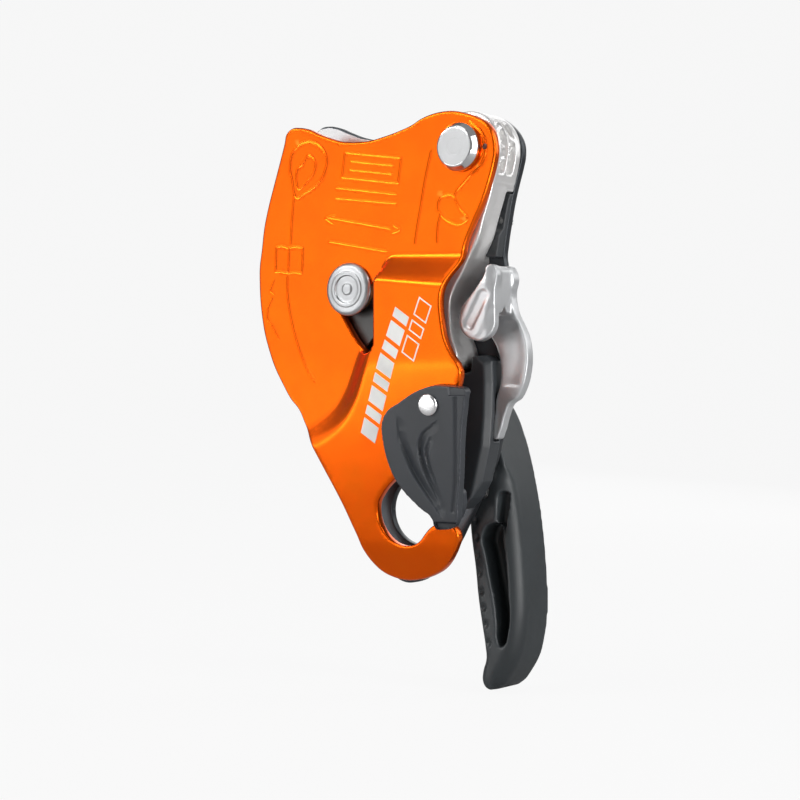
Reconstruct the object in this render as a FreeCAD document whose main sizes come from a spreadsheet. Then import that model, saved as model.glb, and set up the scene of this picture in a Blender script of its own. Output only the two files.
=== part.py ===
import FreeCAD, Part
import math
import os
from FreeCAD import Placement, Rotation, Vector

# Rope descender / ascender with a swinging front plate, an eccentric cam and a lever.
# Frame: origin at the centre of the connector eye, +X to the right edge (spur side),
# +Y from the front plate to the lever, +Z up. Millimetres and degrees.
# Outlines are lists of (x, z) points. "Front" is the -Y side, "back" the +Y side.

doc = FreeCAD.newDocument("ascender")
os.makedirs("parts", exist_ok=True)

# ---------------------------------------------------------------- driving dimensions
# *_x, *_z, *_front, *_back, *_face and *_low are positions; *_r are radii
SIZE = {
    # side plates; the front one has a low face and a raised, sloping one
    "plate_thick": 3.0, "rear_face": 1.5, "inner_face": -1.5,
    "front_low": -18.5, "raise_height": 5.4, "slope_run": 59.0, "slope_rise": 8.9,
    "eye_radius": 11.0,
    # main pivot and cam axle
    "pivot_x": 26.4, "pivot_z": 113.2, "pivot_shank_r": 4.0, "pivot_head_r": 7.5,
    "axle_x": -15.4, "axle_z": 70.9, "axle_neck_r": 5.2, "axle_tail_r": 4.0,
    "axle_head_r": 8.5, "run_gap": 0.05,
    # cam, friction block and liner
    "cam_front": -14.9, "cam_back": -2.8, "cam_bush_r": 6.6,
    "block_front": -14.9, "washer_thick": 0.4,
    "liner_thick": 0.8, "drive_radius": 12.0, "drive_pin_r": 2.5,
    # lever and handle
    "lever_face": 4.2, "lever_thick": 3.0, "lever_bush_r": 5.4,
    "handle_front": 7.4, "handle_back": 21.5,
    # gate, spur and guards
    "gate_pin_x": 18.8, "gate_pin_z": 34.6, "gate_tilt": 8.6, "gate_thick": 3.2,
    "gate_pin_r": 2.0, "spur_front": -16.3, "spur_lobe_back": -12.0, "spur_leg_front": -5.5,
    "guard_front": -9.5, "edge_guard_front": -5.4,
}
sheet = doc.addObject("Spreadsheet::Sheet", "sizes")
for row, (alias, value) in enumerate(SIZE.items(), 1):
    sheet.set("A%d" % row, alias)
    sheet.set("B%d" % row, str(value))
    sheet.setAlias("B%d" % row, alias)
doc.recompute()

ORIGIN = (0, 0)
PIVOT = (SIZE["pivot_x"], SIZE["pivot_z"])
AXLE = (SIZE["axle_x"], SIZE["axle_z"])
REAR, INNER = SIZE["rear_face"], SIZE["inner_face"]
GAP = SIZE["run_gap"]

# Rivets and screws: places and shank radii
BLOCK_RIVETS, BLOCK_RIVET_R = [(17.4, 62.0), (22.0, 90.0)], 2.5
SPUR_RIVETS, SPUR_RIVET_R = [(29.2, 70.4), (29.6, 60.6)], 1.6
GUARD_SCREWS, GUARD_SCREW_R = [(22.0, 36.0), (22.0, 12.0)], 1.6
EDGE_SCREW, EDGE_SCREW_R = (31.6, 91.6), 1.0
HANDLE_RIVETS, HANDLE_RIVET_R = [(13.6, 26.0), (20.4, 6.6)], 2.0

# Drive pin: angle about the axle at rest, cam and lever travel, room in its slots
PIN_REST = 190.0
CAM_MIN, CAM_MAX, LEVER_MAX = -20.0, 4.0, 85.0
SLOT_SPARE = 2
SLOT_HALF = SIZE["drive_pin_r"] + 0.3

# Torsion springs about +Y: coil and wire radii, y and angle where the coil starts, radius
# of the leg bends, and lengths of the first leg (toward +Y) and the last (toward -Y)
CAM_SPRING = dict(radius=8.6, wire=0.5, pitch=1.2, turns=0.86, y=-3.5, angle=100.0,
                  bend=1.2, first_leg=3.0, last_leg=1.3)
LEVER_SPRING = dict(radius=7.6, wire=0.5, pitch=0.7, turns=0.9, y=3.2, angle=150.0,
                    bend=0.9, first_leg=1.6, last_leg=2.0)
GATE_SPRING = dict(radius=4.4, wire=0.35, pitch=0.5, turns=0.9, y=-1.0, angle=170.0,
                   bend=0.8, first_leg=1.6, last_leg=0.75)
CAM_SPRING_HOLE_R, LEVER_SPRING_HOLE_R = 0.8, 0.85

pieces = []


# ---------------------------------------------------------------- curves in the XZ plane
def in_sketch(x, z):
    return Vector(x, z, 0)


def at_depth(y):
    """Placing function for curves drawn in space at depth y."""
    return lambda x, z: Vector(x, y, z)


def polar(centre, radius, angle):
    turn = math.radians(angle)
    return (centre[0] + radius * math.cos(turn), centre[1] + radius * math.sin(turn))


def arc_middle(start, end, tangent):
    """Middle of the arc that leaves start along the tangent; None if nearly straight."""
    dx, dz = end[0] - start[0], end[1] - start[1]
    chord = math.hypot(dx, dz)
    ux, uz = dx / chord, dz / chord
    cross = ux * tangent[1] - uz * tangent[0]
    angle = math.atan2(abs(cross), ux * tangent[0] + uz * tangent[1])
    if angle < 2e-3:
        return None
    sagitta = (1 if cross > 0 else -1) * chord / 2 * math.tan(angle / 2)
    return ((start[0] + end[0]) / 2 - uz * sagitta, (start[1] + end[1]) / 2 + ux * sagitta)


def arc_or_line(start, middle, end, place):
    if middle is None:
        return Part.LineSegment(place(*start), place(*end))
    return Part.Arc(place(*start), place(*middle), place(*end))


def smooth(points, place=in_sketch):
    """Closed outline through the points as tangent arcs, two between each pair."""
    count = len(points)
    tangents = []
    for i in range(count):
        (x0, z0), (x1, z1), (x2, z2) = points[i - 1], points[i], points[(i + 1) % count]
        before, after = math.hypot(x1 - x0, z1 - z0), math.hypot(x2 - x1, z2 - z1)
        tx = (x1 - x0) / before * after + (x2 - x1) / after * before
        tz = (z1 - z0) / before * after + (z2 - z1) / after * before
        length = math.hypot(tx, tz)
        tangents.append((tx / length, tz / length))

    curves = []
    for i in range(count):
        start, end = points[i], points[(i + 1) % count]
        leave, arrive = tangents[i], tangents[(i + 1) % count]
        # reach: the equal tangent length of both arcs, which fixes their joint
        vx, vz = end[0] - start[0], end[1] - start[1]
        square = vx * vx + vz * vz
        along = vx * (leave[0] + arrive[0]) + vz * (leave[1] + arrive[1])
        spread = 2 * (1 - (leave[0] * arrive[0] + leave[1] * arrive[1]))
        if spread < 1e-6:
            reach = square / (2 * along)
        else:
            reach = (-along + math.sqrt(along * along + spread * square)) / spread
        joint = ((start[0] + reach * leave[0] + end[0] - reach * arrive[0]) / 2,
                 (start[1] + reach * leave[1] + end[1] - reach * arrive[1]) / 2)
        middle = arc_middle(start, joint, leave)
        curves.append(arc_or_line(start, middle, joint, place))
        middle = arc_middle(end, joint, (-arrive[0], -arrive[1]))
        curves.append(arc_or_line(joint, middle, end, place))
    return curves


def polygon(points):
    return [Part.LineSegment(in_sketch(*points[i - 1]), in_sketch(*points[i]))
            for i in [*range(1, len(points)), 0]]


def circle(centre, radius):
    return Part.Circle(in_sketch(*centre), Vector(0, 0, 1), radius)


def ring_arc(centre, radius, start, end, place=in_sketch):
    return Part.Arc(*[place(*polar(centre, radius, angle))
                      for angle in (start, (start + end) / 2, end)])


def ring_sector(centre, inner, outer, start, end, place=in_sketch):
    """Closed outline between two radii and two angles."""
    def side(angle, radius, other):
        return Part.LineSegment(place(*polar(centre, radius, angle)),
                                place(*polar(centre, other, angle)))
    return [ring_arc(centre, outer, start, end, place), side(end, outer, inner),
            ring_arc(centre, inner, end, start, place), side(start, inner, outer)]


def arc_slot(centre, radius, half, start, end):
    """Closed kidney slot with round ends, start < end."""
    def tip(angle, outward, first, last):
        middle = polar(polar(centre, radius, angle), half, angle + outward)
        return Part.Arc(in_sketch(*polar(centre, first, angle)), in_sketch(*middle),
                        in_sketch(*polar(centre, last, angle)))
    outer, inner = radius + half, radius - half
    return [ring_arc(centre, outer, start, end), tip(end, 90, outer, inner),
            ring_arc(centre, inner, end, start), tip(start, -90, inner, outer)]


# ---------------------------------------------------------------- parametric bodies
# Depths and lengths are given as spreadsheet expressions.
def sketch(body, name, role, geometry, depth=None):
    """Sketch on one of the body's own planes, moved to the +Y position depth if given."""
    result = body.newObject("Sketcher::SketchObject", name)
    plane = next(item for item in body.Origin.OriginFeatures if item.Role == role)
    result.AttachmentSupport = [(plane, "")]
    result.MapMode = "FlatFace"
    if depth is not None:
        result.setExpression("AttachmentOffset.Base.z", "-(" + depth + ")")
    for curve in geometry:
        result.addGeometry(curve, False)
    return result


def new_body(label):
    body = doc.addObject("PartDesign::Body", label)
    body.Label = label
    pieces.append(body)
    return body


def padded(label, geometry, front, back):
    """New body: an XZ outline padded between two +Y positions."""
    body = new_body(label)
    profile = sketch(body, "PadSketch", "XZ_Plane", geometry, back)
    feature = body.newObject("PartDesign::Pad", "Pad")
    feature.Profile = profile
    feature.setExpression("Length", "(" + back + ") - (" + front + ")")
    doc.recompute()
    body.Tip = feature
    return body


def turned(label, profile):
    """New body: (radius, y) points revolved about its own +Y axis."""
    body = new_body(label)
    outline = sketch(body, "TurnSketch", "XY_Plane", polygon(profile))
    feature = body.newObject("PartDesign::Revolution", "Turn")
    feature.Profile = outline
    feature.ReferenceAxis = (outline, ["V_Axis"])
    feature.Angle = 360
    doc.recompute()
    body.Tip = feature
    return body


def centre_on(body, axis):
    """Bind a turned body to the 'pivot' or 'axle' position."""
    body.setExpression("Placement.Base.x", "sizes.%s_x" % axis)
    body.setExpression("Placement.Base.z", "sizes.%s_z" % axis)


def pocket(body, geometry, front, depth, name, over=0.5):
    """Cut from front toward +Y by depth, overrunning both ends by over."""
    before = body.Tip.Shape.Volume
    profile = sketch(body, name + "Sketch", "XZ_Plane", geometry, "(%s) - %g" % (front, over))
    feature = body.newObject("PartDesign::Pocket", name)
    feature.Profile = profile
    feature.setExpression("Length", "(%s) + %g" % (depth, 2 * over))
    doc.recompute()
    # guards against a cut that runs away from the material
    if not feature.Shape.isValid() or feature.Shape.Volume >= before - 0.01:
        feature.Reversed = not feature.Reversed
        doc.recompute()
    assert feature.Shape.Volume < before - 0.01, (body.Label, name, "cut nothing")
    body.Tip = feature


def lies_at(edge, y):
    """True for an edge that lies flat at depth y."""
    return (all(abs(vertex.Point.y - y) < 0.02 for vertex in edge.Vertexes)
            and abs(edge.BoundBox.YLength) < 0.02)


def long_edge(y, length):
    return lambda edge: lies_at(edge, y) and edge.Length > length


def dress(body, kind, size, pick, name):
    """Fillet or chamfer the picked edges."""
    base = body.Tip
    edges = ["Edge%d" % i for i, edge in enumerate(base.Shape.Edges, 1) if pick(edge)]
    if not edges:
        return
    feature = body.newObject("PartDesign::" + kind, name)
    feature.Base = (base, edges)
    setattr(feature, "Radius" if kind == "Fillet" else "Size", size)
    doc.recompute()
    # guards against edges the kernel can't dress: they are left sharp
    if ("Invalid" in feature.State or "Error" in feature.State
            or feature.Shape.isNull() or not feature.Shape.isValid()):
        body.Tip = base
        body.removeObject(feature)
        doc.removeObject(feature.Name)
        doc.recompute()
        return
    body.Tip = feature


# ---------------------------------------------------------------- plain solids
def add_shape(label, shape, placement=None):
    item = doc.addObject("Part::Feature", label)
    item.Label = label
    item.Shape = shape
    item.Placement = placement or Placement()
    pieces.append(item)


def cylinder(centre, radius, front, back):
    return Part.makeCylinder(radius, back - front, Vector(centre[0], front, centre[1]),
                             Vector(0, 1, 0))


def extrude(curves, front, back):
    wire = Part.Wire([curve.toShape() for curve in curves])
    return Part.Face(wire).extrude(Vector(0, back - front, 0))


def smooth_prism(points, front, back):
    return extrude(smooth(points, at_depth(front)), front, back)


def prism(points, front, back):
    wire = Part.makePolygon([Vector(x, front, z) for x, z in points + points[:1]])
    return Part.Face(wire).extrude(Vector(0, back - front, 0))


def largest(shape):
    return max(shape.Solids, key=lambda solid: solid.Volume)


def rivet(centre, radius, front, head_radius, head_height):
    """Shank from front to the rear plate's back face, with a domed head behind it."""
    x, z = centre
    profile = [(0, front), (radius, front), (radius, REAR), (head_radius, REAR),
               (head_radius * 0.96, REAR + head_height * 0.45),
               (head_radius * 0.62, REAR + head_height), (0, REAR + head_height), (0, front)]
    wire = Part.makePolygon([Vector(x + reach, y, z) for reach, y in profile])
    return Part.Face(wire).revolve(Vector(x, 0, z), Vector(0, 1, 0), 360)


def leg_spot(spring, centre=ORIGIN, last=False):
    """(x, z) where the first or last leg of a spring runs along Y."""
    side = 1 if last else -1
    turn = math.radians(spring["angle"] + (360 * spring["turns"] if last else 0))
    radius, bend = spring["radius"], spring["bend"]
    return (centre[0] + radius * math.cos(turn) - side * bend * math.sin(turn),
            centre[1] + radius * math.sin(turn) + side * bend * math.cos(turn))


def bent_leg(point, tangent, direction, bend, length):
    """Bend and straight leg from a coil end; returns the edges, bend first."""
    normal = direction - tangent * direction.dot(tangent)
    normal.normalize()
    full = tangent.getAngle(direction)

    def on_bend(angle):
        return (point + normal * bend + tangent * (bend * math.sin(angle))
                - normal * (bend * math.cos(angle)))

    end = on_bend(full)
    return [Part.Arc(point, on_bend(full / 2), end).toShape(),
            Part.makeLine(end, end + direction * length)]


def coil(radius, wire, pitch, turns, y, angle, bend, first_leg, last_leg):
    """Torsion spring that winds toward -Y, with both legs bent along Y."""
    steps = int(turns * 24)
    points = []
    for i in range(steps + 1):
        x, z = polar(ORIGIN, radius, angle + 360.0 * turns * i / steps)
        points.append(Vector(x, y - pitch * turns * i / steps, z))
    curve = Part.BSplineCurve()
    curve.interpolate(Points=points)
    start = curve.tangent(curve.FirstParameter)[0]
    finish = curve.tangent(curve.LastParameter)[0]
    first = bent_leg(points[0], start * -1, Vector(0, 1, 0), bend, first_leg)
    last = bent_leg(points[-1], finish, Vector(0, -1, 0), bend, last_leg)
    edges = [first[1], first[0], curve.toShape(), last[0], last[1]]
    path = Part.Wire(Part.__sortEdges__(edges))
    section = Part.makeCircle(wire, path.OrderedVertexes[0].Point, Vector(0, 1, 0))
    sweep = path.makePipeShell([Part.Wire([section])], True, False)
    return sweep if sweep.ShapeType == "Solid" else Part.Solid(sweep)


# ================================================================ frame
# left edge shared by both side plates, upward
LEFT = [
    (-36.5, 33.0), (-38.99, 35.44), (-42.89, 41.06), (-46.06, 46.43), (-48.43, 52.11),
    (-50.01, 56.87), (-51.43, 63.82), (-52.02, 68.58), (-52.3, 73.54), (-52.3, 79.16),
    (-51.43, 85.05), (-50.39, 92.32), (-48.68, 98.98), (-46.56, 105.52), (-44.04, 113.06)]
# rear plate, clockwise seen from the front: bottom to left edge, then top and right edge
FIXED_PLATE = [
    (-5.6, -23.4), (-10.0, -21.6), (-14.0, -18.0), (-16.9, -12.4), (-18.3, -8.7),
    (-20.0, -4.2), (-22.0, 1.05), (-24.4, 6.0), (-27.0, 11.2), (-30.2, 18.0),
    (-33.3, 26.0)] + LEFT[1:] + [
    (-43.0, 119.5), (-42.2, 123.6), (-39.2, 126.2), (-35.4, 126.5), (-31.7, 125.6),
    (-27.5, 123.8), (-22.5, 121.9), (-14.0, 120.2), (-5.0, 120.6), (4.0, 122.6),
    (13.0, 124.6), (18.5, 125.2), (22.7, 125.3), (27.3, 124.9), (30.9, 123.5),
    (34.0, 121.3), (36.5, 118.5), (38.0, 115.3), (38.2, 111.7), (37.3, 107.6),
    (36.2, 103.9), (34.7, 98.5), (33.2, 91.2), (32.1, 84.9), (31.6, 80.0), (32.6, 75.5),
    (33.8, 71.0), (33.8, 64.0), (32.6, 58.0), (31.6, 50.0), (31.7, 41.9), (31.3, 30.9),
    (30.6, 26.8), (29.7, 22.0), (28.2, 16.7), (25.2, 10.0), (21.9, 3.6), (17.8, -3.8),
    (14.4, -9.8), (9.8, -15.9), (5.1, -20.0), (-0.3, -22.8)]


def build_fixed_side_plate():
    """Rear side plate with the round connector eye."""
    body = padded("fixed_side_plate", smooth(FIXED_PLATE), "sizes.inner_face", "sizes.rear_face")
    small_holes = ([circle(spot, SPUR_RIVET_R) for spot in SPUR_RIVETS]
                   + [circle(spot, GUARD_SCREW_R) for spot in GUARD_SCREWS])
    through_cuts = [
        ("ConnectorEye", [circle(ORIGIN, SIZE["eye_radius"])]),
        ("PinBores", [circle(PIVOT, SIZE["pivot_shank_r"]), circle(AXLE, SIZE["axle_tail_r"])]),
        ("DriveSlot", arc_slot(AXLE, SIZE["drive_radius"], SLOT_HALF,
                               PIN_REST + CAM_MIN - SLOT_SPARE, PIN_REST + CAM_MAX + SLOT_SPARE)),
        ("RivetHoles", [circle(spot, BLOCK_RIVET_R) for spot in BLOCK_RIVETS] + small_holes),
        ("EdgeScrewHole", [circle(EDGE_SCREW, EDGE_SCREW_R)]),
        ("CamSpringHole", [circle(leg_spot(CAM_SPRING, AXLE), CAM_SPRING_HOLE_R)]),
        ("LeverSpringHole", [circle(leg_spot(LEVER_SPRING, AXLE, last=True),
                                    LEVER_SPRING_HOLE_R)]),
    ]
    for name, geometry in through_cuts:
        pocket(body, geometry, "sizes.inner_face", "sizes.plate_thick", name)
    dress(body, "Chamfer", 0.5, long_edge(REAR, 200), "RearEdge")


LINER = [
    (-36.0, 36.0), (-48.4, 58.0), (-50.2, 72.0), (-49.0, 88.0), (-45.2, 106.0),
    (-42.4, 119.0), (-41.8, 123.2), (-39.2, 125.6), (-35.4, 125.9), (-31.7, 125.0),
    (-27.5, 123.2), (-22.5, 121.3), (-14.0, 119.6), (0.0, 120.6), (12.6, 121.0),
    (12.6, 104.0), (10.9, 88.0), (10.4, 70.0), (10.8, 52.0), (8.0, 44.0), (-4.0, 36.0),
    (-20.0, 33.0)]


def build_wear_liner():
    """Thin liner on the inside of the rear plate, left of the friction block."""
    front = "sizes.inner_face - sizes.liner_thick"
    body = padded("wear_liner", polygon(LINER), front, "sizes.inner_face")
    pocket(body, [circle(AXLE, 16.5)], front, "sizes.liner_thick", "CamClear")


# left side, round top about the pivot, then down the right side
BLOCK = [
    (13.4, 46.4), (12.3, 52.0), (12.0, 62.0), (12.2, 75.0), (13.0, 88.0), (14.1, 100.0),
    (14.6, 110.0)] + [polar(PIVOT, 11.6, a) for a in (165, 140, 115, 90, 65, 40, 15, -8)] + [
    (37.2, 107.6), (36.0, 103.0), (34.6, 98.0), (32.6, 92.4), (30.1, 84.8), (27.3, 80.0),
    (24.6, 75.0), (21.9, 70.8), (20.3, 67.3), (19.9, 63.9), (20.1, 59.1), (20.9, 54.4),
    (22.0, 51.8), (22.6, 48.6), (21.0, 46.2), (17.2, 45.4)]
EDGE_REBATE = [
    (36.4, 100.2), (36.4, 79.2), (26.6, 79.2), (26.6, 80.4), (27.9, 86.1), (29.9, 94.1),
    (32.3, 100.5)]


def build_friction_block():
    body = padded("friction_block", smooth(BLOCK), "sizes.block_front", "sizes.inner_face")
    pocket(body, [circle(PIVOT, SIZE["pivot_shank_r"])], "sizes.block_front", "14", "PivotBore")
    pocket(body, [circle(spot, BLOCK_RIVET_R) for spot in BLOCK_RIVETS],
           "-9.5", "9", "RivetSockets", 0)
    # two pockets in the right-facing surface, with one rib between them
    for i, front in enumerate(("-13.2", "-8.5")):
        pocket(body, ring_sector(PIVOT, 8.6, 13.0, -38, 48), front, "3.7", "CastPocket%d" % i, 0)
    dress(body, "Fillet", 0.8, long_edge(SIZE["block_front"], 60), "FrontEdge")
    # rebate behind the right edge for the edge guard
    pocket(body, polygon(EDGE_REBATE), "sizes.edge_guard_front - 0.1", "5", "EdgeRebate", 0)


EDGE_GUARD = [
    (35.4, 99.6), (34.6, 98.2), (33.1, 91.2), (32.0, 84.9), (31.2, 80.2), (29.0, 80.0),
    (27.0, 80.4), (28.2, 86.0), (30.2, 94.0), (32.6, 100.4)]


def build_edge_guard():
    """Plastic guard in the rebate of the friction block."""
    body = padded("edge_guard", polygon(EDGE_GUARD), "sizes.edge_guard_front",
                  "sizes.inner_face")
    pocket(body, [circle(EDGE_SCREW, EDGE_SCREW_R)], "-4.0", "3", "ScrewHole", 0)


GUARD = [
    (15.0, 3.0), (15.0, 40.0), (17.0, 43.2), (24.2, 44.4), (24.6, 49.2), (28.6, 49.6),
    (31.0, 47.6), (31.3, 41.0), (31.0, 30.4), (30.2, 21.0), (27.6, 10.2), (24.5, 5.0),
    (20.5, 1.4), (17.0, 1.0)]
TONGUE_GROOVE = [
    (44, 38.0), (34.0, 22.0), (31.6, 22.4), (29.4, 22.9), (28.3, 24.6), (29.0, 28.1),
    (30.1, 32.1), (30.2, 35.9), (31.2, 39.8), (31.2, 60.0), (44, 60.0)]


def build_inner_guard():
    """Plastic guard at the lower right, notched for the spur's tongue."""
    body = padded("inner_guard", polygon(GUARD), "sizes.guard_front", "sizes.inner_face")
    dress(body, "Chamfer", 2.0,
          lambda edge: lies_at(edge, SIZE["guard_front"]) and edge.BoundBox.XMin > 27.0,
          "FrontRightChamfer")
    pocket(body, polygon(TONGUE_GROOVE), "sizes.spur_leg_front - 0.15", "4.2",
           "TongueGroove", 0)
    pocket(body, [circle(spot, GUARD_SCREW_R) for spot in GUARD_SCREWS],
           "-7.0", "6", "ScrewHoles", 0)


# upper left edge shared by the spur's lobe and leg, downward
SPUR_EDGE = [(33.9, 77.0), (32.9, 74.2), (31.3, 71.5), (29.0, 68.7), (26.5, 66.2), (24.9, 64.3)]
SPUR_LOBE = SPUR_EDGE + [
    (24.1, 62.0), (24.1, 59.5), (24.9, 57.1), (26.8, 55.1), (29.4, 53.9), (31.3, 53.7),
    (32.9, 54.3), (34.5, 55.3), (36.0, 57.5), (36.4, 62.0), (36.6, 70.0), (36.8, 75.6),
    (35.6, 77.2)]
SPUR_LEG = SPUR_EDGE + [
    (24.6, 61.0), (26.2, 58.0), (29.2, 55.2), (31.6, 51.0), (32.6, 47.0), (32.8, 43.5),
    (32.2, 39.5), (30.9, 35.8), (30.6, 32.0), (29.5, 28.0), (28.9, 24.8), (29.8, 23.6),
    (31.2, 23.3), (32.6, 25.6), (34.4, 31.0), (36.2, 34.6), (38.4, 35.9), (40.6, 39.5),
    (42.0, 44.3), (42.4, 49.0), (41.7, 54.4), (39.8, 58.8), (37.8, 62.6), (36.8, 66.4),
    (36.8, 75.6), (35.6, 77.2)]
SPUR_BRIDGE = [
    (25.0, 64.3), (26.5, 66.2), (29.0, 68.7), (31.3, 71.5), (32.9, 74.2), (33.9, 76.8),
    (35.6, 77.0), (36.7, 75.6), (36.6, 70.0), (36.4, 62.4), (24.6, 62.4)]


def build_braking_spur():
    """Front lobe, bridge with a V over the rope, rear leg and tongue."""
    lobe_back, leg_front = SIZE["spur_lobe_back"], SIZE["spur_leg_front"]
    lobe = smooth_prism(SPUR_LOBE, SIZE["spur_front"], lobe_back)
    bridge = prism(SPUR_BRIDGE, SIZE["spur_front"] + 0.6, INNER)
    leg = smooth_prism(SPUR_LEG, leg_front, INNER)
    # V channel along X, a list of (y, z)
    peak = ((lobe_back + leg_front) / 2, 64.6)
    channel = [peak, (lobe_back, 60.4), (lobe_back, 50), (leg_front, 50), (leg_front, 60.4), peak]
    wire = Part.makePolygon([Vector(20, y, z) for y, z in channel])
    spur = lobe.fuse([bridge, leg]).cut(Part.Face(wire).extrude(Vector(20, 0, 0)))
    for spot in SPUR_RIVETS:
        spur = spur.cut(cylinder(spot, SPUR_RIVET_R, -4.5, 0))
    # shallow round recess in the front of the lobe
    spur = spur.cut(cylinder(SPUR_RIVETS[1], 3.6, SIZE["spur_front"] - 0.1,
                             SIZE["spur_front"] + 0.5))
    add_shape("braking_spur", largest(spur.removeSplitter()))


def build_main_pivot():
    """Pivot pin, headed at the front and riveted at the back, with its washer."""
    shank, head = SIZE["pivot_shank_r"], SIZE["pivot_head_r"]
    pin = turned("main_pivot_pin", [
        (0, -22.6), (5.6, -22.6), (6.35, -22.3), (head, -20.6), (head, -19.2), (6.9, -18.65),
        (shank, -18.65), (shank, REAR), (6.2, REAR), (6.2, 2.2), (5.0, 3.1), (0, 3.1)])
    centre_on(pin, "pivot")
    padded("pivot_washer", [circle(PIVOT, 9.0), circle(PIVOT, 4.06)],
           "sizes.block_front - sizes.washer_thick", "sizes.block_front")


def build_cam_axle():
    """Axle with a ringed mushroom head, neck, shoulder and tail; its washer and nut."""
    neck, tail = SIZE["axle_neck_r"], SIZE["axle_tail_r"]
    axle = turned("cam_axle", [
        (0, -20.5), (1.6, -20.5), (2.0, -20.1), (4.2, -20.1), (4.5, -20.7), (5.6, -20.7),
        (5.9, -20.45), (7.0, -20.4), (8.1, -19.9), (SIZE["axle_head_r"], -19.3), (8.3, -18.7),
        (neck, -18.6), (neck, INNER), (tail, INNER), (tail, 11.6), (3.7, 12.0), (0, 12.0)])
    centre_on(axle, "axle")
    lever_back = "sizes.lever_face + sizes.lever_thick"
    padded("axle_washer", [circle(AXLE, 7.0), circle(AXLE, tail + GAP)],
           lever_back + " + 0.15", lever_back + " + 1.15")
    hexagon = [polar(AXLE, 6.4, 30 + 60 * i) for i in range(6)]
    padded("axle_nut", polygon(hexagon) + [circle(AXLE, tail)], lever_back + " + 1.15", "11.4")


def build_fasteners():
    """Rivets and screws through the rear plate, one compound for each set."""
    sets = {
        "block_rivets": [rivet(spot, BLOCK_RIVET_R, -9.2, 4.4, 1.2) for spot in BLOCK_RIVETS],
        "spur_rivets": [rivet(spot, SPUR_RIVET_R, -4.3, 2.9, 0.9) for spot in SPUR_RIVETS],
        "guard_screws": [rivet(spot, GUARD_SCREW_R, -6.8, 3.0, 1.1) for spot in GUARD_SCREWS]
                        + [rivet(EDGE_SCREW, EDGE_SCREW_R, -3.8, 1.6, 0.8)],
    }
    for label, solids in sets.items():
        add_shape(label, Part.makeCompound(solids))


# ================================================================ swinging front plate
SLOPE = SIZE["slope_rise"] / SIZE["slope_run"]
TOE_SLOPE = math.tan(math.radians(25))    # steeper slope below the main one
BEND_Z = 47.6                             # height where the slope starts
# centre line of the lower step between the raised and low faces, downward
STEP = [(-7.6, 62.0), (-7.6, 55.0), (-8.4, 50.6), (-16.3, 40.4), (-22.2, 32.4),
        (-32.2, 25.3), (-44.0, 18.0)]
STEP_WIDTH = 8.2
SIDE_X, SIDE_WIDTH = -4.6, 2.4            # upright step at the left of the raised face


def raised(z):
    """Front face of the raised and sloped side of the plate."""
    y = SIZE["front_low"] - SIZE["raise_height"]
    drop = BEND_Z - z
    if drop > 0:
        y += drop * SLOPE
    if drop > SIZE["slope_run"]:
        y += (drop - SIZE["slope_run"]) * (TOE_SLOPE - SLOPE)
    return y


def smoothstep(t):
    t = min(1.0, max(0.0, t))
    return t * t * (3 - 2 * t)


def step_distance(x, z):
    """Signed distance to the lower step line, positive on the raised side."""
    best, sign = 1e9, 1
    for (x0, z0), (x1, z1) in zip(STEP, STEP[1:]):
        dx, dz = x1 - x0, z1 - z0
        t = min(1, max(0, ((x - x0) * dx + (z - z0) * dz) / (dx * dx + dz * dz)))
        off_x, off_z = x - x0 - t * dx, z - z0 - t * dz
        distance = math.hypot(off_x, off_z)
        if distance < best:
            best, sign = distance, (1 if dx * off_z - dz * off_x > 0 else -1)
    return best * sign


def plate_front(x, z):
    """Front face of the plate at (x, z), blended between the low and raised faces."""
    if z > 51:
        # the side step leans right above z = 72
        side = SIDE_X + max(0.0, z - 72.0) * 0.55
        blend = smoothstep((x - side + SIDE_WIDTH / 2) / SIDE_WIDTH)
        if z > 62:
            # step along the top of the raised face, between these two heights
            top = 82.0 - 0.4 * (x / 28.0)
            foot = min(72.6, max(68.4, 72.4 - 3.2 * (x + 2.3) / 26.4))
            blend *= smoothstep((top - z) / (top - foot))
    else:
        blend = smoothstep(0.5 + step_distance(x, z) / STEP_WIDTH)
    return SIZE["front_low"] * (1 - blend) + raised(z) * blend


# top and right edge, then lower edge around the eye
MOBILE_TOP = [
    (-41.94, 119.62), (-41.2, 122.4), (-39.2, 124.0), (-35.3, 124.1), (-32.0, 123.3),
    (-28.3, 121.6), (-23.4, 119.8), (-18.6, 118.4), (-13.7, 117.9), (-8.2, 117.9),
    (-2.6, 118.8), (3.8, 120.3), (7.7, 121.5), (11.5, 123.3), (15.3, 124.4), (19.0, 124.9),
    (23.9, 124.7), (27.3, 123.9), (31.7, 122.3), (35.0, 120.5), (37.1, 118.1), (38.4, 114.3),
    (38.6, 110.6), (37.9, 107.0), (36.4, 102.1), (34.0, 96.0), (30.8, 89.9), (27.9, 83.77),
    (26.2, 77.4), (24.4, 74.0), (23.1, 70.8), (22.2, 68.0), (22.0, 65.5), (22.5, 60.3),
    (23.6, 54.9), (26.3, 49.4), (28.4, 46.6), (29.1, 44.4), (28.6, 41.5), (26.4, 37.0),
    (22.0, 29.0), (16.0, 22.5), (9.0, 16.6), (1.6, 11.0)]
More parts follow.
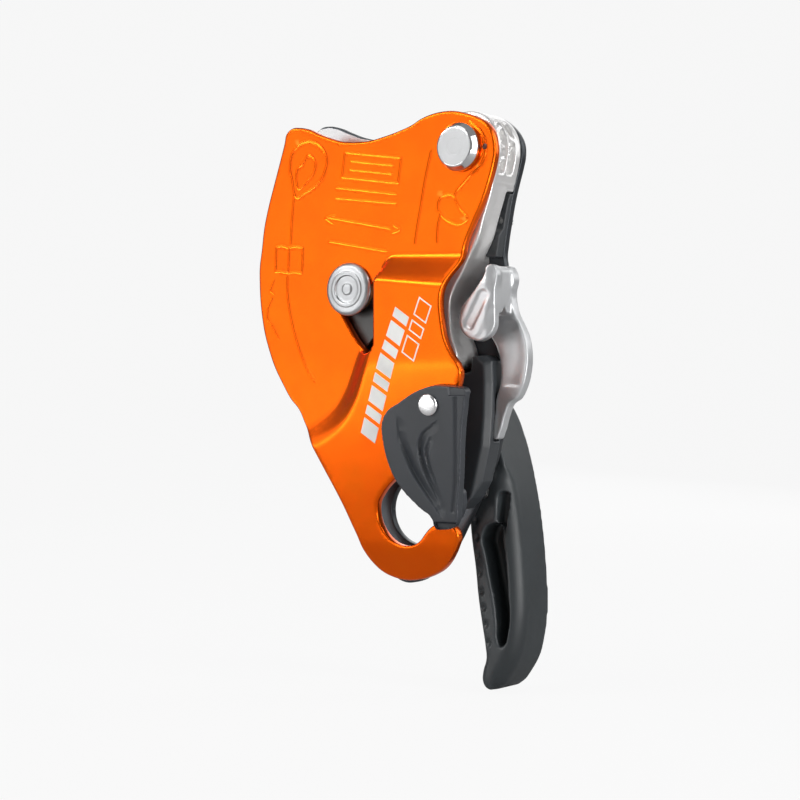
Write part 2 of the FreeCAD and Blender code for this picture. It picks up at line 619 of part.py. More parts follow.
MOBILE_LOW = [
    (-3.78, 5.99), (-5.77, 3.1), (-6.23, -0.17), (-5.53, -3.83), (-3.63, -7.02),
    (-0.48, -9.54), (2.82, -10.43), (6.23, -10.06), (9.06, -8.55), (11.2, -6.25),
    (13.5, -4.15), (16.52, -2.81), (19.82, -2.69), (22.5, -3.9), (23.65, -6.73),
    (22.39, -9.97), (19.68, -13.75), (15.83, -17.22), (10.76, -19.76), (5.45, -21.32),
    (0.46, -21.79), (-3.77, -21.19), (-8.12, -19.29), (-11.12, -16.26), (-13.33, -12.36),
    (-14.72, -8.68), (-16.76, -4.23), (-19.18, 1.05), (-21.7, 5.93), (-24.65, 11.23),
    (-28.05, 17.34), (-29.85, 20.62), (-33.32, 27.38)]
NOTCH = [
    (-19.4, 64.2), (-18.6, 62.8), (-14.6, 56.7), (-12.0, 53.4), (-9.0, 50.6), (-7.9, 50.1),
    (-4.9, 50.7), (-3.0, 52.9), (-3.0, 72.6), (-10.0, 72.6)]

# gate frame: on the plate's sloped front face, local +Y along the tilted normal
GATE_TILT = SIZE["gate_tilt"]
GATE_THICK = SIZE["gate_thick"]
GATE_PLACE = Placement(Vector(SIZE["gate_pin_x"], raised(SIZE["gate_pin_z"]),
                              SIZE["gate_pin_z"]), Rotation(Vector(1, 0, 0), GATE_TILT))


def tilted(shape):
    """Copy of a shape moved from the gate frame to the product frame."""
    moved = shape.copy()
    moved.Placement = GATE_PLACE.multiply(moved.Placement)
    return moved


def axle_path(clear_radius, start, front, back):
    """Band cut about the pivot from the start angle, as wide as the axle needs."""
    reach = math.hypot(PIVOT[0] - AXLE[0], PIVOT[1] - AXLE[1])
    return extrude(ring_sector(PIVOT, reach - clear_radius, reach + clear_radius, start, 330,
                               at_depth(front)), front, back)


def build_mobile_side_plate():
    columns = [-58 + 2.0 * i for i in range(52)]
    rows = [-30 + 2.2 * i for i in range(74)]
    surface = Part.BSplineSurface()
    surface.interpolate([[Vector(x, plate_front(x, z), z) for z in rows] for x in columns])
    plate = surface.toShape().extrude(Vector(0, SIZE["plate_thick"], 0))
    plate = plate.common(smooth_prism(MOBILE_TOP + MOBILE_LOW + LEFT, -40, 0))

    axle_angle = math.degrees(math.atan2(AXLE[1] - PIVOT[1], AXLE[0] - PIVOT[0])) % 360
    neck_clear = SIZE["axle_neck_r"] + 0.25
    head_clear = SIZE["axle_head_r"] + 0.35
    cuts = [
        cylinder(PIVOT, SIZE["pivot_shank_r"] + GAP, -40, 0),
        prism(NOTCH, -40, 0),
        cylinder(AXLE, neck_clear, -30, 0),
        axle_path(neck_clear, axle_angle, -20.2, 0),
        axle_path(head_clear, axle_angle + 1, -20.95, -18.55),
        tilted(cylinder(ORIGIN, SIZE["gate_pin_r"], -3, 6)),
        tilted(cylinder(leg_spot(GATE_SPRING), 0.6, -1, 6)),
    ]
    for cut in cuts:
        plate = plate.cut(cut)
    add_shape("mobile_side_plate", largest(plate))


def build_gate_pin():
    """Pin along the tilted normal, riveted behind the plate."""
    radius = SIZE["gate_pin_r"]
    pin = turned("gate_pin", [
        (0, -GATE_THICK - 1.15), (1.5, -GATE_THICK - 1.15), (2.6, -GATE_THICK - 1.0),
        (3.5, -GATE_THICK - 0.35), (3.5, -GATE_THICK - 0.1), (radius, -GATE_THICK - 0.1),
        (radius, 3.02), (3.4, 3.02), (3.1, 3.7), (0, 3.7)])
    pin.Placement = GATE_PLACE


GATE = [
    (0.6, 29.0), (1.8, 31.6), (8.8, 36.3), (15.1, 39.4), (20.5, 40.8), (26.4, 40.6),
    (30.1, 40.3), (31.8, 40.0), (31.7, 35.4), (30.6, 30.4), (29.3, 22.9), (28.1, 13.6),
    (26.4, 4.05), (25.6, -0.6), (24.4, -2.6), (21.2, -3.5), (17.2, -2.9), (16.6, -0.7),
    (11.5, 3.6), (6.0, 8.9), (3.7, 12.2), (1.5, 17.8), (0.5, 24.2)]
GATE_NOSE = [
    (14.4, 3.6), (16.9, 0.6), (18.2, -0.9), (21.2, -1.4), (23.8, -0.8), (25.1, 1.4),
    (25.9, 5.0), (25.4, 8.0), (22.0, 8.6), (17.6, 7.6), (14.8, 5.4)]


def to_gate_frame(points):
    """Product (x, z) seen from the front, to the gate's own tilted plane."""
    stretch = math.cos(math.radians(GATE_TILT))
    return [(x - SIZE["gate_pin_x"], (z - SIZE["gate_pin_z"]) / stretch - GATE_THICK * 0.15)
            for x, z in points]


def build_gate():
    """Thin upper plate with a deeper nose in the mouth of the hook."""
    gate = smooth_prism(to_gate_frame(GATE), -GATE_THICK, -0.1)
    gate = gate.fuse(smooth_prism(to_gate_frame(GATE_NOSE), -0.2, 3.6))
    # pin bore, spring recess and spring leg hole
    for cut in (cylinder(ORIGIN, SIZE["gate_pin_r"] + GAP, -9, 9),
                cylinder(ORIGIN, 5.6, -1.9, 0.5),
                cylinder(leg_spot(GATE_SPRING, last=True), 0.55, -3.0, 0)):
        gate = gate.cut(cut)
    add_shape("gate", largest(gate.removeSplitter()), GATE_PLACE)
    add_shape("gate_spring", coil(**GATE_SPRING), GATE_PLACE)


# ================================================================ cam
# rim stations: (angle about the axle, radius), eased between; lobe at the upper right
CAM_RIM = [
    (-60, 16.5), (-30, 14.8), (0, 14.6), (12, 14.9), (24, 16.4), (36, 19.6), (48, 23.4),
    (60, 25.6), (75, 26.0), (90, 25.2), (120, 23.0), (150, 21.6), (180, 21.4), (210, 21.6),
    (240, 21.2), (270, 19.8), (300, 16.5)]
DRIVE_PIN = polar(AXLE, SIZE["drive_radius"], PIN_REST)


def cam_radius(angle):
    for (angle0, radius0), (angle1, radius1) in zip(CAM_RIM, CAM_RIM[1:]):
        if angle0 <= angle <= angle1:
            t = (angle - angle0) / (angle1 - angle0)
            return radius0 + (radius1 - radius0) * smoothstep(t)


def build_cam():
    rim = [polar(AXLE, cam_radius(angle), angle) for angle in range(-60, 300, 8)]
    body = padded("cam", smooth(rim), "sizes.cam_front", "sizes.cam_back")
    pocket(body, [circle(AXLE, SIZE["cam_bush_r"])], "sizes.cam_front",
           "sizes.cam_back - sizes.cam_front", "Bore")
    pocket(body, [circle(DRIVE_PIN, SIZE["drive_pin_r"])], "-9.0", "6.3", "DriveBore", 0)
    pocket(body, [circle(AXLE, 10.2)], "-5.3", "2.6", "SpringPocket", 0)
    pocket(body, [circle(leg_spot(CAM_SPRING, AXLE, last=True), CAM_SPRING_HOLE_R)],
           "-8.0", "3.5", "SpringHole", 0)
    at_front, at_back = long_edge(SIZE["cam_front"], 80), long_edge(SIZE["cam_back"], 80)
    dress(body, "Fillet", 1.2, lambda edge: at_front(edge) or at_back(edge), "RimEdges")


def build_cam_fittings():
    """Bush, drive pin and return spring of the cam."""
    padded("cam_bush", [circle(AXLE, SIZE["cam_bush_r"]),
                        circle(AXLE, SIZE["axle_neck_r"] + GAP)], "sizes.cam_front", "-5.4")
    padded("cam_drive_pin", [circle(DRIVE_PIN, SIZE["drive_pin_r"])], "-8.9",
           "sizes.lever_face + sizes.lever_thick")
    add_shape("cam_spring", coil(**CAM_SPRING), Placement(Vector(AXLE[0], 0, AXLE[1]), Rotation()))


# ================================================================ lever
# round hub about the axle, then the arm down to the handle and back up
LEVER_ARM = [polar(AXLE, 18.6, a) for a in range(-30, 262, 12)] + [
    (-9.0, 47.0), (-2.0, 38.0), (6.0, 30.0), (12.0, 18.0), (15.2, 8.6), (17.2, 3.0),
    (20.4, 0.8), (23.6, 3.0), (24.6, 8.6), (22.6, 22.0), (16.0, 38.0), (8.0, 50.0)]


def build_lever_arm():
    """Lever arm with its lost-motion slot, and its bush."""
    face, back = "sizes.lever_face", "sizes.lever_face + sizes.lever_thick"
    body = padded("lever_arm", smooth(LEVER_ARM), face, back)
    through_cuts = [
        ("Bore", [circle(AXLE, SIZE["lever_bush_r"])]),
        ("LostMotionSlot", arc_slot(AXLE, SIZE["drive_radius"], SLOT_HALF,
                                    PIN_REST - LEVER_MAX - SLOT_SPARE, PIN_REST + SLOT_SPARE)),
        ("RivetHoles", [circle(spot, HANDLE_RIVET_R) for spot in HANDLE_RIVETS]),
    ]
    for name, geometry in through_cuts:
        pocket(body, geometry, face, "sizes.lever_thick", name)
    pocket(body, [circle(leg_spot(LEVER_SPRING, AXLE), LEVER_SPRING_HOLE_R)],
           "sizes.lever_face - 0.5", "2.5", "SpringHole", 0)
    padded("lever_bush", [circle(AXLE, SIZE["lever_bush_r"]),
                          circle(AXLE, SIZE["axle_tail_r"] + GAP)], face, back)


HANDLE = [
    (15.9, 40.0), (9.6, 43.0), (4.4, 39.6), (4.0, 33.0), (8.4, 24.6), (12.2, 12.0),
    (14.6, 0.0), (15.6, -9.0), (16.9, -17.4), (18.1, -27.9), (19.7, -37.4), (20.6, -42.6),
    (21.0, -46.8), (19.8, -51.0), (19.6, -53.8), (20.8, -56.2), (23.0, -56.9), (25.4, -55.6),
    (28.9, -51.6), (32.0, -46.0), (33.6, -40.0), (34.5, -33.0), (34.6, -27.0), (34.2, -19.8),
    (33.3, -9.2), (31.8, 1.4), (29.6, 12.1), (27.0, 21.6), (22.6, 32.0)]
ARM_SLOT = [
    (-30, 90), (-30, 40), (-11, 44.5), (-3.2, 36.8), (4.8, 28.6), (10.8, 17.4), (13.8, 8.2),
    (16.0, 1.8), (20.4, -0.8), (24.8, 1.8), (26.0, 8.6), (24.0, 22.6), (17.4, 38.4),
    (13.0, 45.0), (13.0, 90)]
CHANNEL = [
    (20.4, -8.0), (21.6, -14.0), (23.0, -20.6), (25.0, -29.6), (25.7, -36.0), (25.9, -40.6),
    (27.0, -42.6), (28.6, -41.8), (29.6, -38.6), (30.3, -33.6), (29.9, -26.0), (29.2, -17.0),
    (27.9, -8.5), (26.6, -3.6), (23.0, -4.0)]


def build_handle():
    front = "sizes.handle_front - 3.9"
    body = padded("handle", smooth(HANDLE), front, "sizes.handle_back")
    # slot that houses the lever arm
    pocket(body, polygon(ARM_SLOT), "sizes.lever_face - 0.02", "sizes.lever_thick + 0.04",
           "ArmSlot", 0)
    # long channel, open to the front
    pocket(body, smooth(CHANNEL), front, "8.0", "Channel", 0.4)
    dress(body, "Fillet", 4.0, long_edge(SIZE["handle_back"], 150), "BackRound")
    dress(body, "Fillet", 1.6, long_edge(SIZE["handle_front"] - 3.9, 150), "FrontRound")
    pocket(body, [circle(spot, HANDLE_RIVET_R) for spot in HANDLE_RIVETS],
           "3.0", "20", "RivetHoles")


def build_handle_fittings():
    """Rivets of the handle and the return spring of the lever."""
    add_shape("handle_rivets", Part.makeCompound(
        [cylinder(spot, HANDLE_RIVET_R, 3.4, 18.0) for spot in HANDLE_RIVETS]))
    add_shape("lever_spring", coil(**LEVER_SPRING),
              Placement(Vector(AXLE[0], 0, AXLE[1]), Rotation()))


# ================================================================ build, check and write
for build in (build_fixed_side_plate, build_wear_liner, build_friction_block, build_edge_guard,
              build_inner_guard, build_braking_spur, build_main_pivot, build_cam_axle,
              build_fasteners, build_mobile_side_plate, build_gate_pin, build_gate, build_cam,
              build_cam_fittings, build_lever_arm, build_handle, build_handle_fittings):
    build()
doc.recompute()
failed = [item.Name for item in doc.Objects if "Invalid" in item.State or "Error" in item.State]
assert not failed, failed
for piece in pieces:
    shape = piece.Shape
    assert not shape.isNull() and shape.isValid() and shape.Solids, (piece.Label, "bad shape")
for piece in pieces:
    piece.Shape.exportStep("parts/%s.step" % piece.Label)
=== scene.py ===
"""Looks of a rope brake: an orange front plate swings over a dark rear plate, and a cam,
a cast friction block and a braking spur sit between them, with a lever handle behind.
The plates lie in XZ with +Z up. The front faces -Y. Lengths are in mm unless noted."""
import bpy
import bmesh
import cmath
import math
import numpy as np
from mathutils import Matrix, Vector
from mathutils.geometry import delaunay_2d_cdt

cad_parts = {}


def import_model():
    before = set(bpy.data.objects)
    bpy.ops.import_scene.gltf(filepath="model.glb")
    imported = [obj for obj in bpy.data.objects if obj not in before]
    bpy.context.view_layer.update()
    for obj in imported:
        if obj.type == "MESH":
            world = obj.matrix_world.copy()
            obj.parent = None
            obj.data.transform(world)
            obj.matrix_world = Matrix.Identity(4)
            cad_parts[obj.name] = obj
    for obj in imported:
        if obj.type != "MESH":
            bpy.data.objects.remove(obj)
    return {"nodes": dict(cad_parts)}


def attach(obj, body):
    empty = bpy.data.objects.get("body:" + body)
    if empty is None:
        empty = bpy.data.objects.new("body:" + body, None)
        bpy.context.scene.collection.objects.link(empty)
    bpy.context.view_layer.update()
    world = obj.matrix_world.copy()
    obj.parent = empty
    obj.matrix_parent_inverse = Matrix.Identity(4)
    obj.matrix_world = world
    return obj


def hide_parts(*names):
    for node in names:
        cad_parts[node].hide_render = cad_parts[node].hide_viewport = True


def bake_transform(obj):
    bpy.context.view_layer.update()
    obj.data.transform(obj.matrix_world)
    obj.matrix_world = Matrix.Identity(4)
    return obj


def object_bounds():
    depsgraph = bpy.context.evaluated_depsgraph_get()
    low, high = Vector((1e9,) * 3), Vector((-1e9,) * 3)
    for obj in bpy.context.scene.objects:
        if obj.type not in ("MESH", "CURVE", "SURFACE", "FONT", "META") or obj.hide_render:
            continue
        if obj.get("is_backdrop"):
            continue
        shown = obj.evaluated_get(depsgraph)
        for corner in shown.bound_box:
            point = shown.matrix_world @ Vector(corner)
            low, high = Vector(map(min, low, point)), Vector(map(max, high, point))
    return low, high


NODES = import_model()["nodes"]
CAD_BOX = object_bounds()
MM = 0.001                        # metres in a millimetre

# ------------------------------------------------------------------ shared sizes
PIVOT = (26.4, 113.2)             # x, z of the front plate's pivot
AXLE = (-15.4, 70.9)              # x, z of the cam axle
GATE_PIN = (18.8, 34.6)           # x, z of the gate pin
GATE_TILT = math.radians(8.6)     # lean of the gate pin about X
BASE_Y = -18.5                    # front face of the front plate's low part
LIFT = 5.4                        # how far its raised part stands forward
FRONT_THICKNESS = 3.0
REAR_HALF = 1.5                   # half the rear plate's thickness, centred on y = 0
BEND_Z = 47.6                     # below this the raised part slopes back
BEND_RUN = 59.0                   # height of the first slope
BEND_SLOPE = 8.9 / BEND_RUN
STEEP_SLOPE = math.tan(math.radians(25))
# Coils about the axle; their legs also pass through holes in the rear plate
CAM_COIL = {"radius": 8.6, "bend": 1.2, "start": 100.0}
LEVER_COIL = {"radius": 7.6, "bend": 0.9, "start": 150.0}
# Per fastener: x, z, shank radius, shank start y, head radius, head height, sides of its hole
FASTENERS = {
    "block_rivets": [(17.4, 62.0, 2.5, -9.2, 4.4, 1.2, 32), (22.0, 90.0, 2.5, -9.2, 4.4, 1.2, 32)],
    "spur_rivets": [(29.2, 70.4, 1.6, -4.3, 2.9, 0.9, 24), (29.6, 60.6, 1.6, -4.3, 2.9, 0.9, 24)],
    "guard_screws": [(22.0, 36.0, 1.6, -6.8, 3.0, 1.1, 24), (22.0, 12.0, 1.6, -6.8, 3.0, 1.1, 24),
                     (31.6, 91.6, 1.0, -3.0, 1.6, 0.8, 20)],
}

# ------------------------------------------------------------------ shader nodes


class Nodes:
    """Short ways to add nodes to a shader tree; each returns an output socket."""

    def __init__(self, tree):
        self.tree = tree

    def plug(self, socket, value):
        """Links an output to the socket, or sets a plain value or an RGB colour."""
        if hasattr(value, "is_linked"):
            self.tree.links.new(value, socket)
        elif socket.type == "RGBA":
            socket.default_value = (*value, 1.0)
        else:
            socket.default_value = value

    def node(self, kind, inputs=None, output=0, **settings):
        node = self.tree.nodes.new(kind)
        for key, value in settings.items():
            setattr(node, key, value)
        for key, value in (inputs or {}).items():
            self.plug(node.inputs[key], value)
        return node.outputs[output]

    def ramp(self, factor, stops):
        output = self.node("ShaderNodeValToRGB", {"Fac": factor}, "Color")
        elements = output.node.color_ramp.elements
        while len(elements) < len(stops):
            elements.new(0.5)
        for element, (position, colour) in zip(elements, stops):
            element.position = position
            element.color = (*colour, 1.0)
        return output

    def remap(self, value, low, high, side="To"):
        """Map Range from 0..1 to low..high, or from low..high to 0..1 with side="From"."""
        inputs = {"Value": value, f"{side} Min": low, f"{side} Max": high}
        return self.node("ShaderNodeMapRange", inputs)

    def mix(self, factor, first, second):
        inputs = {0: factor, 6: first, 7: second}
        return self.node("ShaderNodeMix", inputs, 2, data_type="RGBA")

    def axes(self, vector):
        return self.node("ShaderNodeSeparateXYZ", {0: vector}).node.outputs


class Material(Nodes):
    """A Principled material in object coordinates (metres)."""

    def __init__(self, name):
        self.material = bpy.data.materials.new(name)
        self.material.use_nodes = True
        super().__init__(self.material.node_tree)
        self.shader = self.tree.nodes["Principled BSDF"]
        self.coords = self.node("ShaderNodeTexCoord", output="Object")

    def noise(self, scale, detail=4.0, rough=0.55, stretch=None):
        vector = self.coords
        if stretch:
            vector = self.node("ShaderNodeMapping", {"Vector": vector, "Scale": stretch})
        inputs = {"Scale": scale, "Detail": detail, "Roughness": rough, "Vector": vector}
        return self.node("ShaderNodeTexNoise", inputs, "Fac")

    def worn_edge(self, low, high):
        """Convex edges, from the surface's pointiness."""
        pointiness = self.node("ShaderNodeNewGeometry", output="Pointiness")
        return self.remap(pointiness, low, high, "From")

    def bump(self, height, strength, distance, soft=0.0):
        """Bump in metres; soft is the radius of a shaded edge round."""
        inputs = {"Height": height, "Strength": strength, "Distance": distance}
        normal = self.node("ShaderNodeBump", inputs, "Normal")
        if soft:
            rounded = self.node("ShaderNodeBevel", {"Radius": soft}, "Normal", samples=4)
            self.plug(normal.node.inputs["Normal"], rounded)
        self.plug(self.shader.inputs["Normal"], normal)

    def finish(self, colour, rough, metallic=0.0):
        for key, value in (("Base Color", colour), ("Roughness", rough), ("Metallic", metallic)):
            self.plug(self.shader.inputs[key], value)
        return self.material


def tint(colour, factor):
    return tuple(value * factor for value in colour)


# ------------------------------------------------------------------ materials


def anodised(name, dark, mid, light, worn, metallic, rough):
    """Cloudy three-tone colour with worn edges."""
    mat = Material(name)
    colour = mat.ramp(mat.noise(scale=90, detail=5), [(0.3, dark), (0.5, mid), (0.72, light)])
    colour = mat.mix(mat.worn_edge(low=0.53, high=0.62), colour, worn)
    mat.bump(mat.noise(scale=2600, detail=2), strength=0.10, distance=0.00004)
    gloss = mat.remap(mat.noise(scale=240, detail=3), low=rough - 0.04, high=rough + 0.05)
    return mat.finish(colour, gloss, metallic)


def metal(name, colour, rough, grain=None, soft=0.0, spread=0.06, bump=0.12, scale=900,
          metallic=1.0):
    """Bare metal; grain stretches its fine noise, spread varies its roughness."""
    mat = Material(name)
    fine = mat.noise(scale, detail=3, rough=0.6, stretch=grain)
    broad = mat.noise(scale=70, detail=4)
    base = mat.ramp(broad, [(0.25, tint(colour, 0.90)), (0.75, tint(colour, 1.05))])
    base = mat.mix(mat.remap(fine, low=0.0, high=0.25), base, tint(colour, 0.75))
    mat.bump(fine, strength=bump, distance=0.00004, soft=soft)
    return mat.finish(base, mat.remap(fine, rough - spread, rough + spread), metallic)


def turned_metal(name, colour, rough, centre):
    """Lathe-turned face: fine rings about an axis along Y."""
    mat = Material(name)
    shift = (-centre[0] * MM, 0, -centre[1] * MM)
    axes = mat.axes(mat.node("ShaderNodeMapping", {"Vector": mat.coords, "Location": shift}))
    flat = mat.node("ShaderNodeCombineXYZ", {"X": axes["X"], "Y": axes["Z"]})
    radius = mat.node("ShaderNodeVectorMath", {0: flat}, "Value", operation="LENGTH")
    ring = mat.node("ShaderNodeMath", {0: radius, 1: 9000.0}, operation="MULTIPLY")
    ring_noise = {"W": ring, "Scale": 0.6, "Detail": 4}
    rings = mat.node("ShaderNodeTexNoise", ring_noise, "Fac", noise_dimensions="1D")
    clouds = mat.remap(mat.noise(scale=180, detail=4), low=0, high=0.5)
    base = mat.mix(clouds, colour, tint(colour, 0.78))
    mat.bump(rings, strength=0.28, distance=0.00005, soft=0.00008)
    return mat.finish(base, mat.remap(rings, rough - 0.08, rough + 0.10), metallic=1.0)


def plastic(name, colour, rough, worn=None, grain=1500, bump=0.25):
    """Moulded plastic or enamel, with paler edges if worn is given."""
    mat = Material(name)
    broad = mat.noise(scale=60, detail=5)
    base = mat.ramp(broad, [(0.3, tint(colour, 0.86)), (0.7, tint(colour, 1.12))])
    if worn:
        base = mat.mix(mat.worn_edge(low=0.51, high=0.58), base, worn)
    mat.bump(mat.noise(grain, detail=3, rough=0.6), strength=bump, distance=0.00005)
    gloss = mat.remap(mat.noise(scale=400, detail=3), low=rough - 0.05, high=rough + 0.06)
    return mat.finish(base, gloss)


def liner_painted_shade_metal():
    """Polished sheet with painted shade: bright at its top and darkened to near black below,
    standing in for the shadow between the plates.
    """
    mat = Material("liner_stainless_painted_shade")
    height = mat.remap(mat.axes(mat.coords)["Z"], low=0.096, high=0.112, side="From")
    # painted shade: the colour fades from the bright sheet at the top to near black lower down
    base = mat.mix(height, (0.05, 0.045, 0.042), (0.76, 0.755, 0.76))
    fine = mat.noise(scale=900, detail=3, rough=0.6, stretch=(1, 1, 10))
    base = mat.mix(mat.remap(fine, low=0.0, high=0.3), base, (0.04, 0.04, 0.04))
    mat.bump(fine, strength=0.1, distance=0.00004)
    return mat.finish(base, mat.remap(fine, low=0.18, high=0.34), metallic=1.0)


ORANGE = anodised("orange_anodised", dark=(0.97, 0.118, 0.0), mid=(1.0, 0.128, 0.0),
                  light=(1.0, 0.14, 0.0), worn=(1.0, 0.26, 0.02), metallic=0.88, rough=0.24)
DARK = anodised("dark_anodised", dark=(0.040, 0.044, 0.050), mid=(0.052, 0.057, 0.063),
                light=(0.064, 0.07, 0.077), worn=(0.16, 0.17, 0.18), metallic=0.7, rough=0.34)
CAST = metal("cast_stainless", (0.66, 0.67, 0.68), rough=0.38, spread=0.05, bump=0.16,
             scale=1600, metallic=0.78)
BLOCK = metal("block_stainless", (0.86, 0.85, 0.84), rough=0.32, metallic=0.68)
BRUSHED = metal("brushed_stainless", (0.64, 0.64, 0.64), rough=0.30, grain=(1, 1, 14),
                soft=0.00012, spread=0.08, bump=0.2, scale=1200)
LINER_PAINTED_SHADE = liner_painted_shade_metal()
TURNED = turned_metal("turned_stainless", (0.52, 0.53, 0.54), rough=0.34, centre=AXLE)
# Near-black colour: painted shade for the stainless cam, which sits in shadow between the plates
CAM_STEEL_PAINTED_SHADE = metal("cam_steel_painted_shade", (0.09, 0.088, 0.086), rough=0.34, grain=(1, 1, 8),
                  soft=0.0001, spread=0.08, bump=0.2, scale=1100)
POLISHED = metal("polished_steel", (0.82, 0.82, 0.83), rough=0.10, spread=0.03, bump=0.03,
                 scale=500)
PIVOT_FACE = turned_metal("pivot_face", (0.52, 0.525, 0.53), rough=0.30, centre=PIVOT)
GATE_STEEL = metal("gate_pin_steel", (0.90, 0.90, 0.90), rough=0.16, spread=0.04, bump=0.04,
                   scale=500)
BRONZE = metal("bronze_bush", (0.62, 0.40, 0.18), rough=0.3, soft=0.0001, bump=0.1)
SPRING = metal("spring_wire", (0.42, 0.42, 0.43), rough=0.3, grain=(1, 6, 1), bump=0.1)
GATE_NYLON = plastic("gate_nylon", (0.030, 0.034, 0.040), rough=0.38,
                     worn=(0.07, 0.075, 0.085), grain=1700, bump=0.16)
HANDLE_NYLON = plastic("handle_nylon", (0.026, 0.031, 0.034), rough=0.42,
                       worn=(0.06, 0.067, 0.072), bump=0.2)
BLACK = plastic("guard_black", (0.030, 0.034, 0.038), rough=0.38,
                worn=(0.075, 0.08, 0.088), bump=0.15)
GREY = plastic("edge_guard_grey", (0.040, 0.044, 0.048), rough=0.42,
               worn=(0.10, 0.105, 0.11), bump=0.18)
PRINT = plastic("white_print", (0.86, 0.85, 0.83), rough=0.55, grain=2200, bump=0.12)
ENAMEL = plastic("dark_red_enamel", (0.10, 0.012, 0.008), rough=0.3, grain=900, bump=0.1)

CAD_MATERIALS = {
    "fixed_side_plate": DARK, "wear_liner": LINER_PAINTED_SHADE, "friction_block": BLOCK, "edge_guard": GREY,
    "inner_guard": BLACK, "braking_spur": CAST, "main_pivot_pin": POLISHED,
    "pivot_washer": BRONZE, "cam_axle": TURNED, "axle_washer": BRUSHED, "axle_nut": BRUSHED,
    "block_rivets": BRUSHED, "spur_rivets": BRUSHED, "guard_screws": BRUSHED,
    "mobile_side_plate": ORANGE, "gate_pin": GATE_STEEL, "gate": GATE_NYLON,
    "gate_spring": SPRING, "cam": CAM_STEEL_PAINTED_SHADE, "cam_bush": BRONZE, "cam_drive_pin": BRUSHED,
    "cam_spring": SPRING, "lever_arm": BRUSHED, "lever_bush": BRONZE, "handle": HANDLE_NYLON,
    "handle_rivets": BRUSHED, "lever_spring": SPRING,
}
for node_name, material in CAD_MATERIALS.items():
    NODES[node_name].data.materials.clear()
    NODES[node_name].data.materials.append(material)

# ------------------------------------------------------------------ objects


def add_object(name, data):
    thing = bpy.data.objects.new(name, data)
    bpy.context.scene.collection.objects.link(thing)
    return thing


def new_piece(name, points, faces, materials, angle, face_materials=None):
    mesh = bpy.data.meshes.new(name)
    corners = [tuple(int(i) for i in face) for face in faces]
    mesh.from_pydata([tuple(point) for point in np.asarray(points) * MM], [], corners)
    mesh.validate()
    piece = add_object(name, mesh)
    for material in materials:
        mesh.materials.append(material)
    if face_materials is not None:
        mesh.polygons.foreach_set("material_index", np.asarray(face_materials, dtype=np.int32))
    shade(piece, angle)
    return piece


def shade(piece, angle):
    """Smooth shading, with edges sharper than the angle (degrees) kept crisp."""
    mesh = piece.data
    mesh.polygons.foreach_set("use_smooth", [True] * len(mesh.polygons))
    work = bmesh.new()
    work.from_mesh(mesh)
    bmesh.ops.recalc_face_normals(work, faces=work.faces)
    limit = math.radians(angle)
    for edge in work.edges:
        if len(edge.link_faces) == 2 and edge.calc_face_angle(0) > limit:
            edge.smooth = False
    work.to_mesh(mesh)
    work.free()


def put(piece, finish, body, *nodes):
    """Puts the piece on the body it rides and hides the CAD nodes it replaces; finish is not used.
    """
    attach(piece, body)
    if nodes:
        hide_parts(*nodes)


# ------------------------------------------------------------------ outlines in XZ


def size(vector):
    return math.hypot(vector.real, vector.imag)


def dot(first, second):
    return (first.conjugate() * second).real


def arc(start, end, tangent, step):
    """Points from start up to, not including, end on the arc that leaves along tangent."""
    chord = end - start
    length = size(chord)
    turn = (chord / length).conjugate() * tangent
    angle = math.atan2(abs(turn.imag), turn.real)
    count = max(1, math.ceil(length / step))
    if angle < 2e-3:
        return [start + chord * i / count for i in range(count)]
    radius = length / 2 / math.sin(angle)
    side = 1 if turn.imag > 0 else -1
    centre = start + tangent * -1j * side * radius
    first = cmath.phase(start - centre)
    return [centre + cmath.rect(radius, first - side * 2 * angle * i / count)
            for i in range(count)]


def biarcs(outline, step):
    """Closed counter-clockwise loop of tangent arcs through the points, x + iz inside."""
    knots = [complex(*point) for point in outline]
    after = knots[1:] + knots[:1]
    tangents = []
    for before, knot, following in zip(knots[-1:] + knots[:-1], knots, after):
        leg_in, leg_out = knot - before, following - knot
        size_in, size_out = size(leg_in), size(leg_out)
        tangent = leg_in / size_in * size_out + leg_out / size_out * size_in
        tangents.append(tangent / size(tangent))
    loop = []
    for start, end, leave, arrive in zip(knots, after, tangents, tangents[1:] + tangents[:1]):
        span = end - start
        square, along = dot(span, span), dot(span, leave + arrive)
        excess = 2 * (1 - dot(leave, arrive))
        if excess < 1e-6:
            reach = square / (2 * along)
        else:
            reach = (-along + math.sqrt(along * along + excess * square)) / excess
        joint = (start + reach * leave + end - reach * arrive) / 2
        loop += arc(start, joint, leave, step)
        loop += [joint] + arc(end, joint, -arrive, step)[:0:-1]
    loop = np.array([(point.real, point.imag) for point in loop])
    return loop[::-1] if signed_area(loop) < 0 else loop


def signed_area(loop):
    x, z = loop[:, 0], loop[:, 1]
    return 0.5 * float(np.sum(x * np.roll(z, -1) - np.roll(x, -1) * z))


def resample(loop, step):
    """Even spacing along a closed polyline."""
    closed = np.vstack([loop, loop[:1]])
    run = np.concatenate([[0], np.cumsum(np.hypot(*np.diff(closed, axis=0).T))])
    count = max(8, int(round(run[-1] / step)))
    stops = np.linspace(0, run[-1], count, endpoint=False)
    return np.stack([np.interp(stops, run, closed[:, i]) for i in (0, 1)], 1)


def offset(loop, distance):
    """Counter-clockwise loop moved inward."""
    tangent = np.roll(loop, -1, 0) - np.roll(loop, 1, 0)
    tangent /= np.linalg.norm(tangent, axis=1)[:, None] + 1e-12
    return loop + np.stack([-tangent[:, 1], tangent[:, 0]], 1) * distance


def inside(points, loop):
    x, z = points[:, 0][:, None], points[:, 1][:, None]
    x0, z0 = loop[:, 0][None], loop[:, 1][None]
    x1, z1 = np.roll(loop[:, 0], -1)[None], np.roll(loop[:, 1], -1)[None]
    crossed = ((z0 > z) != (z1 > z)) & (x < (x1 - x0) * (z - z0) / (z1 - z0 + 1e-15) + x0)
    return (crossed.sum(1) % 2).astype(bool)


def within(points, loops):
    """Inside the first loop and outside the others."""
    result = inside(points, loops[0])
    for hole in loops[1:]:
        result &= ~inside(points, hole)
    return result


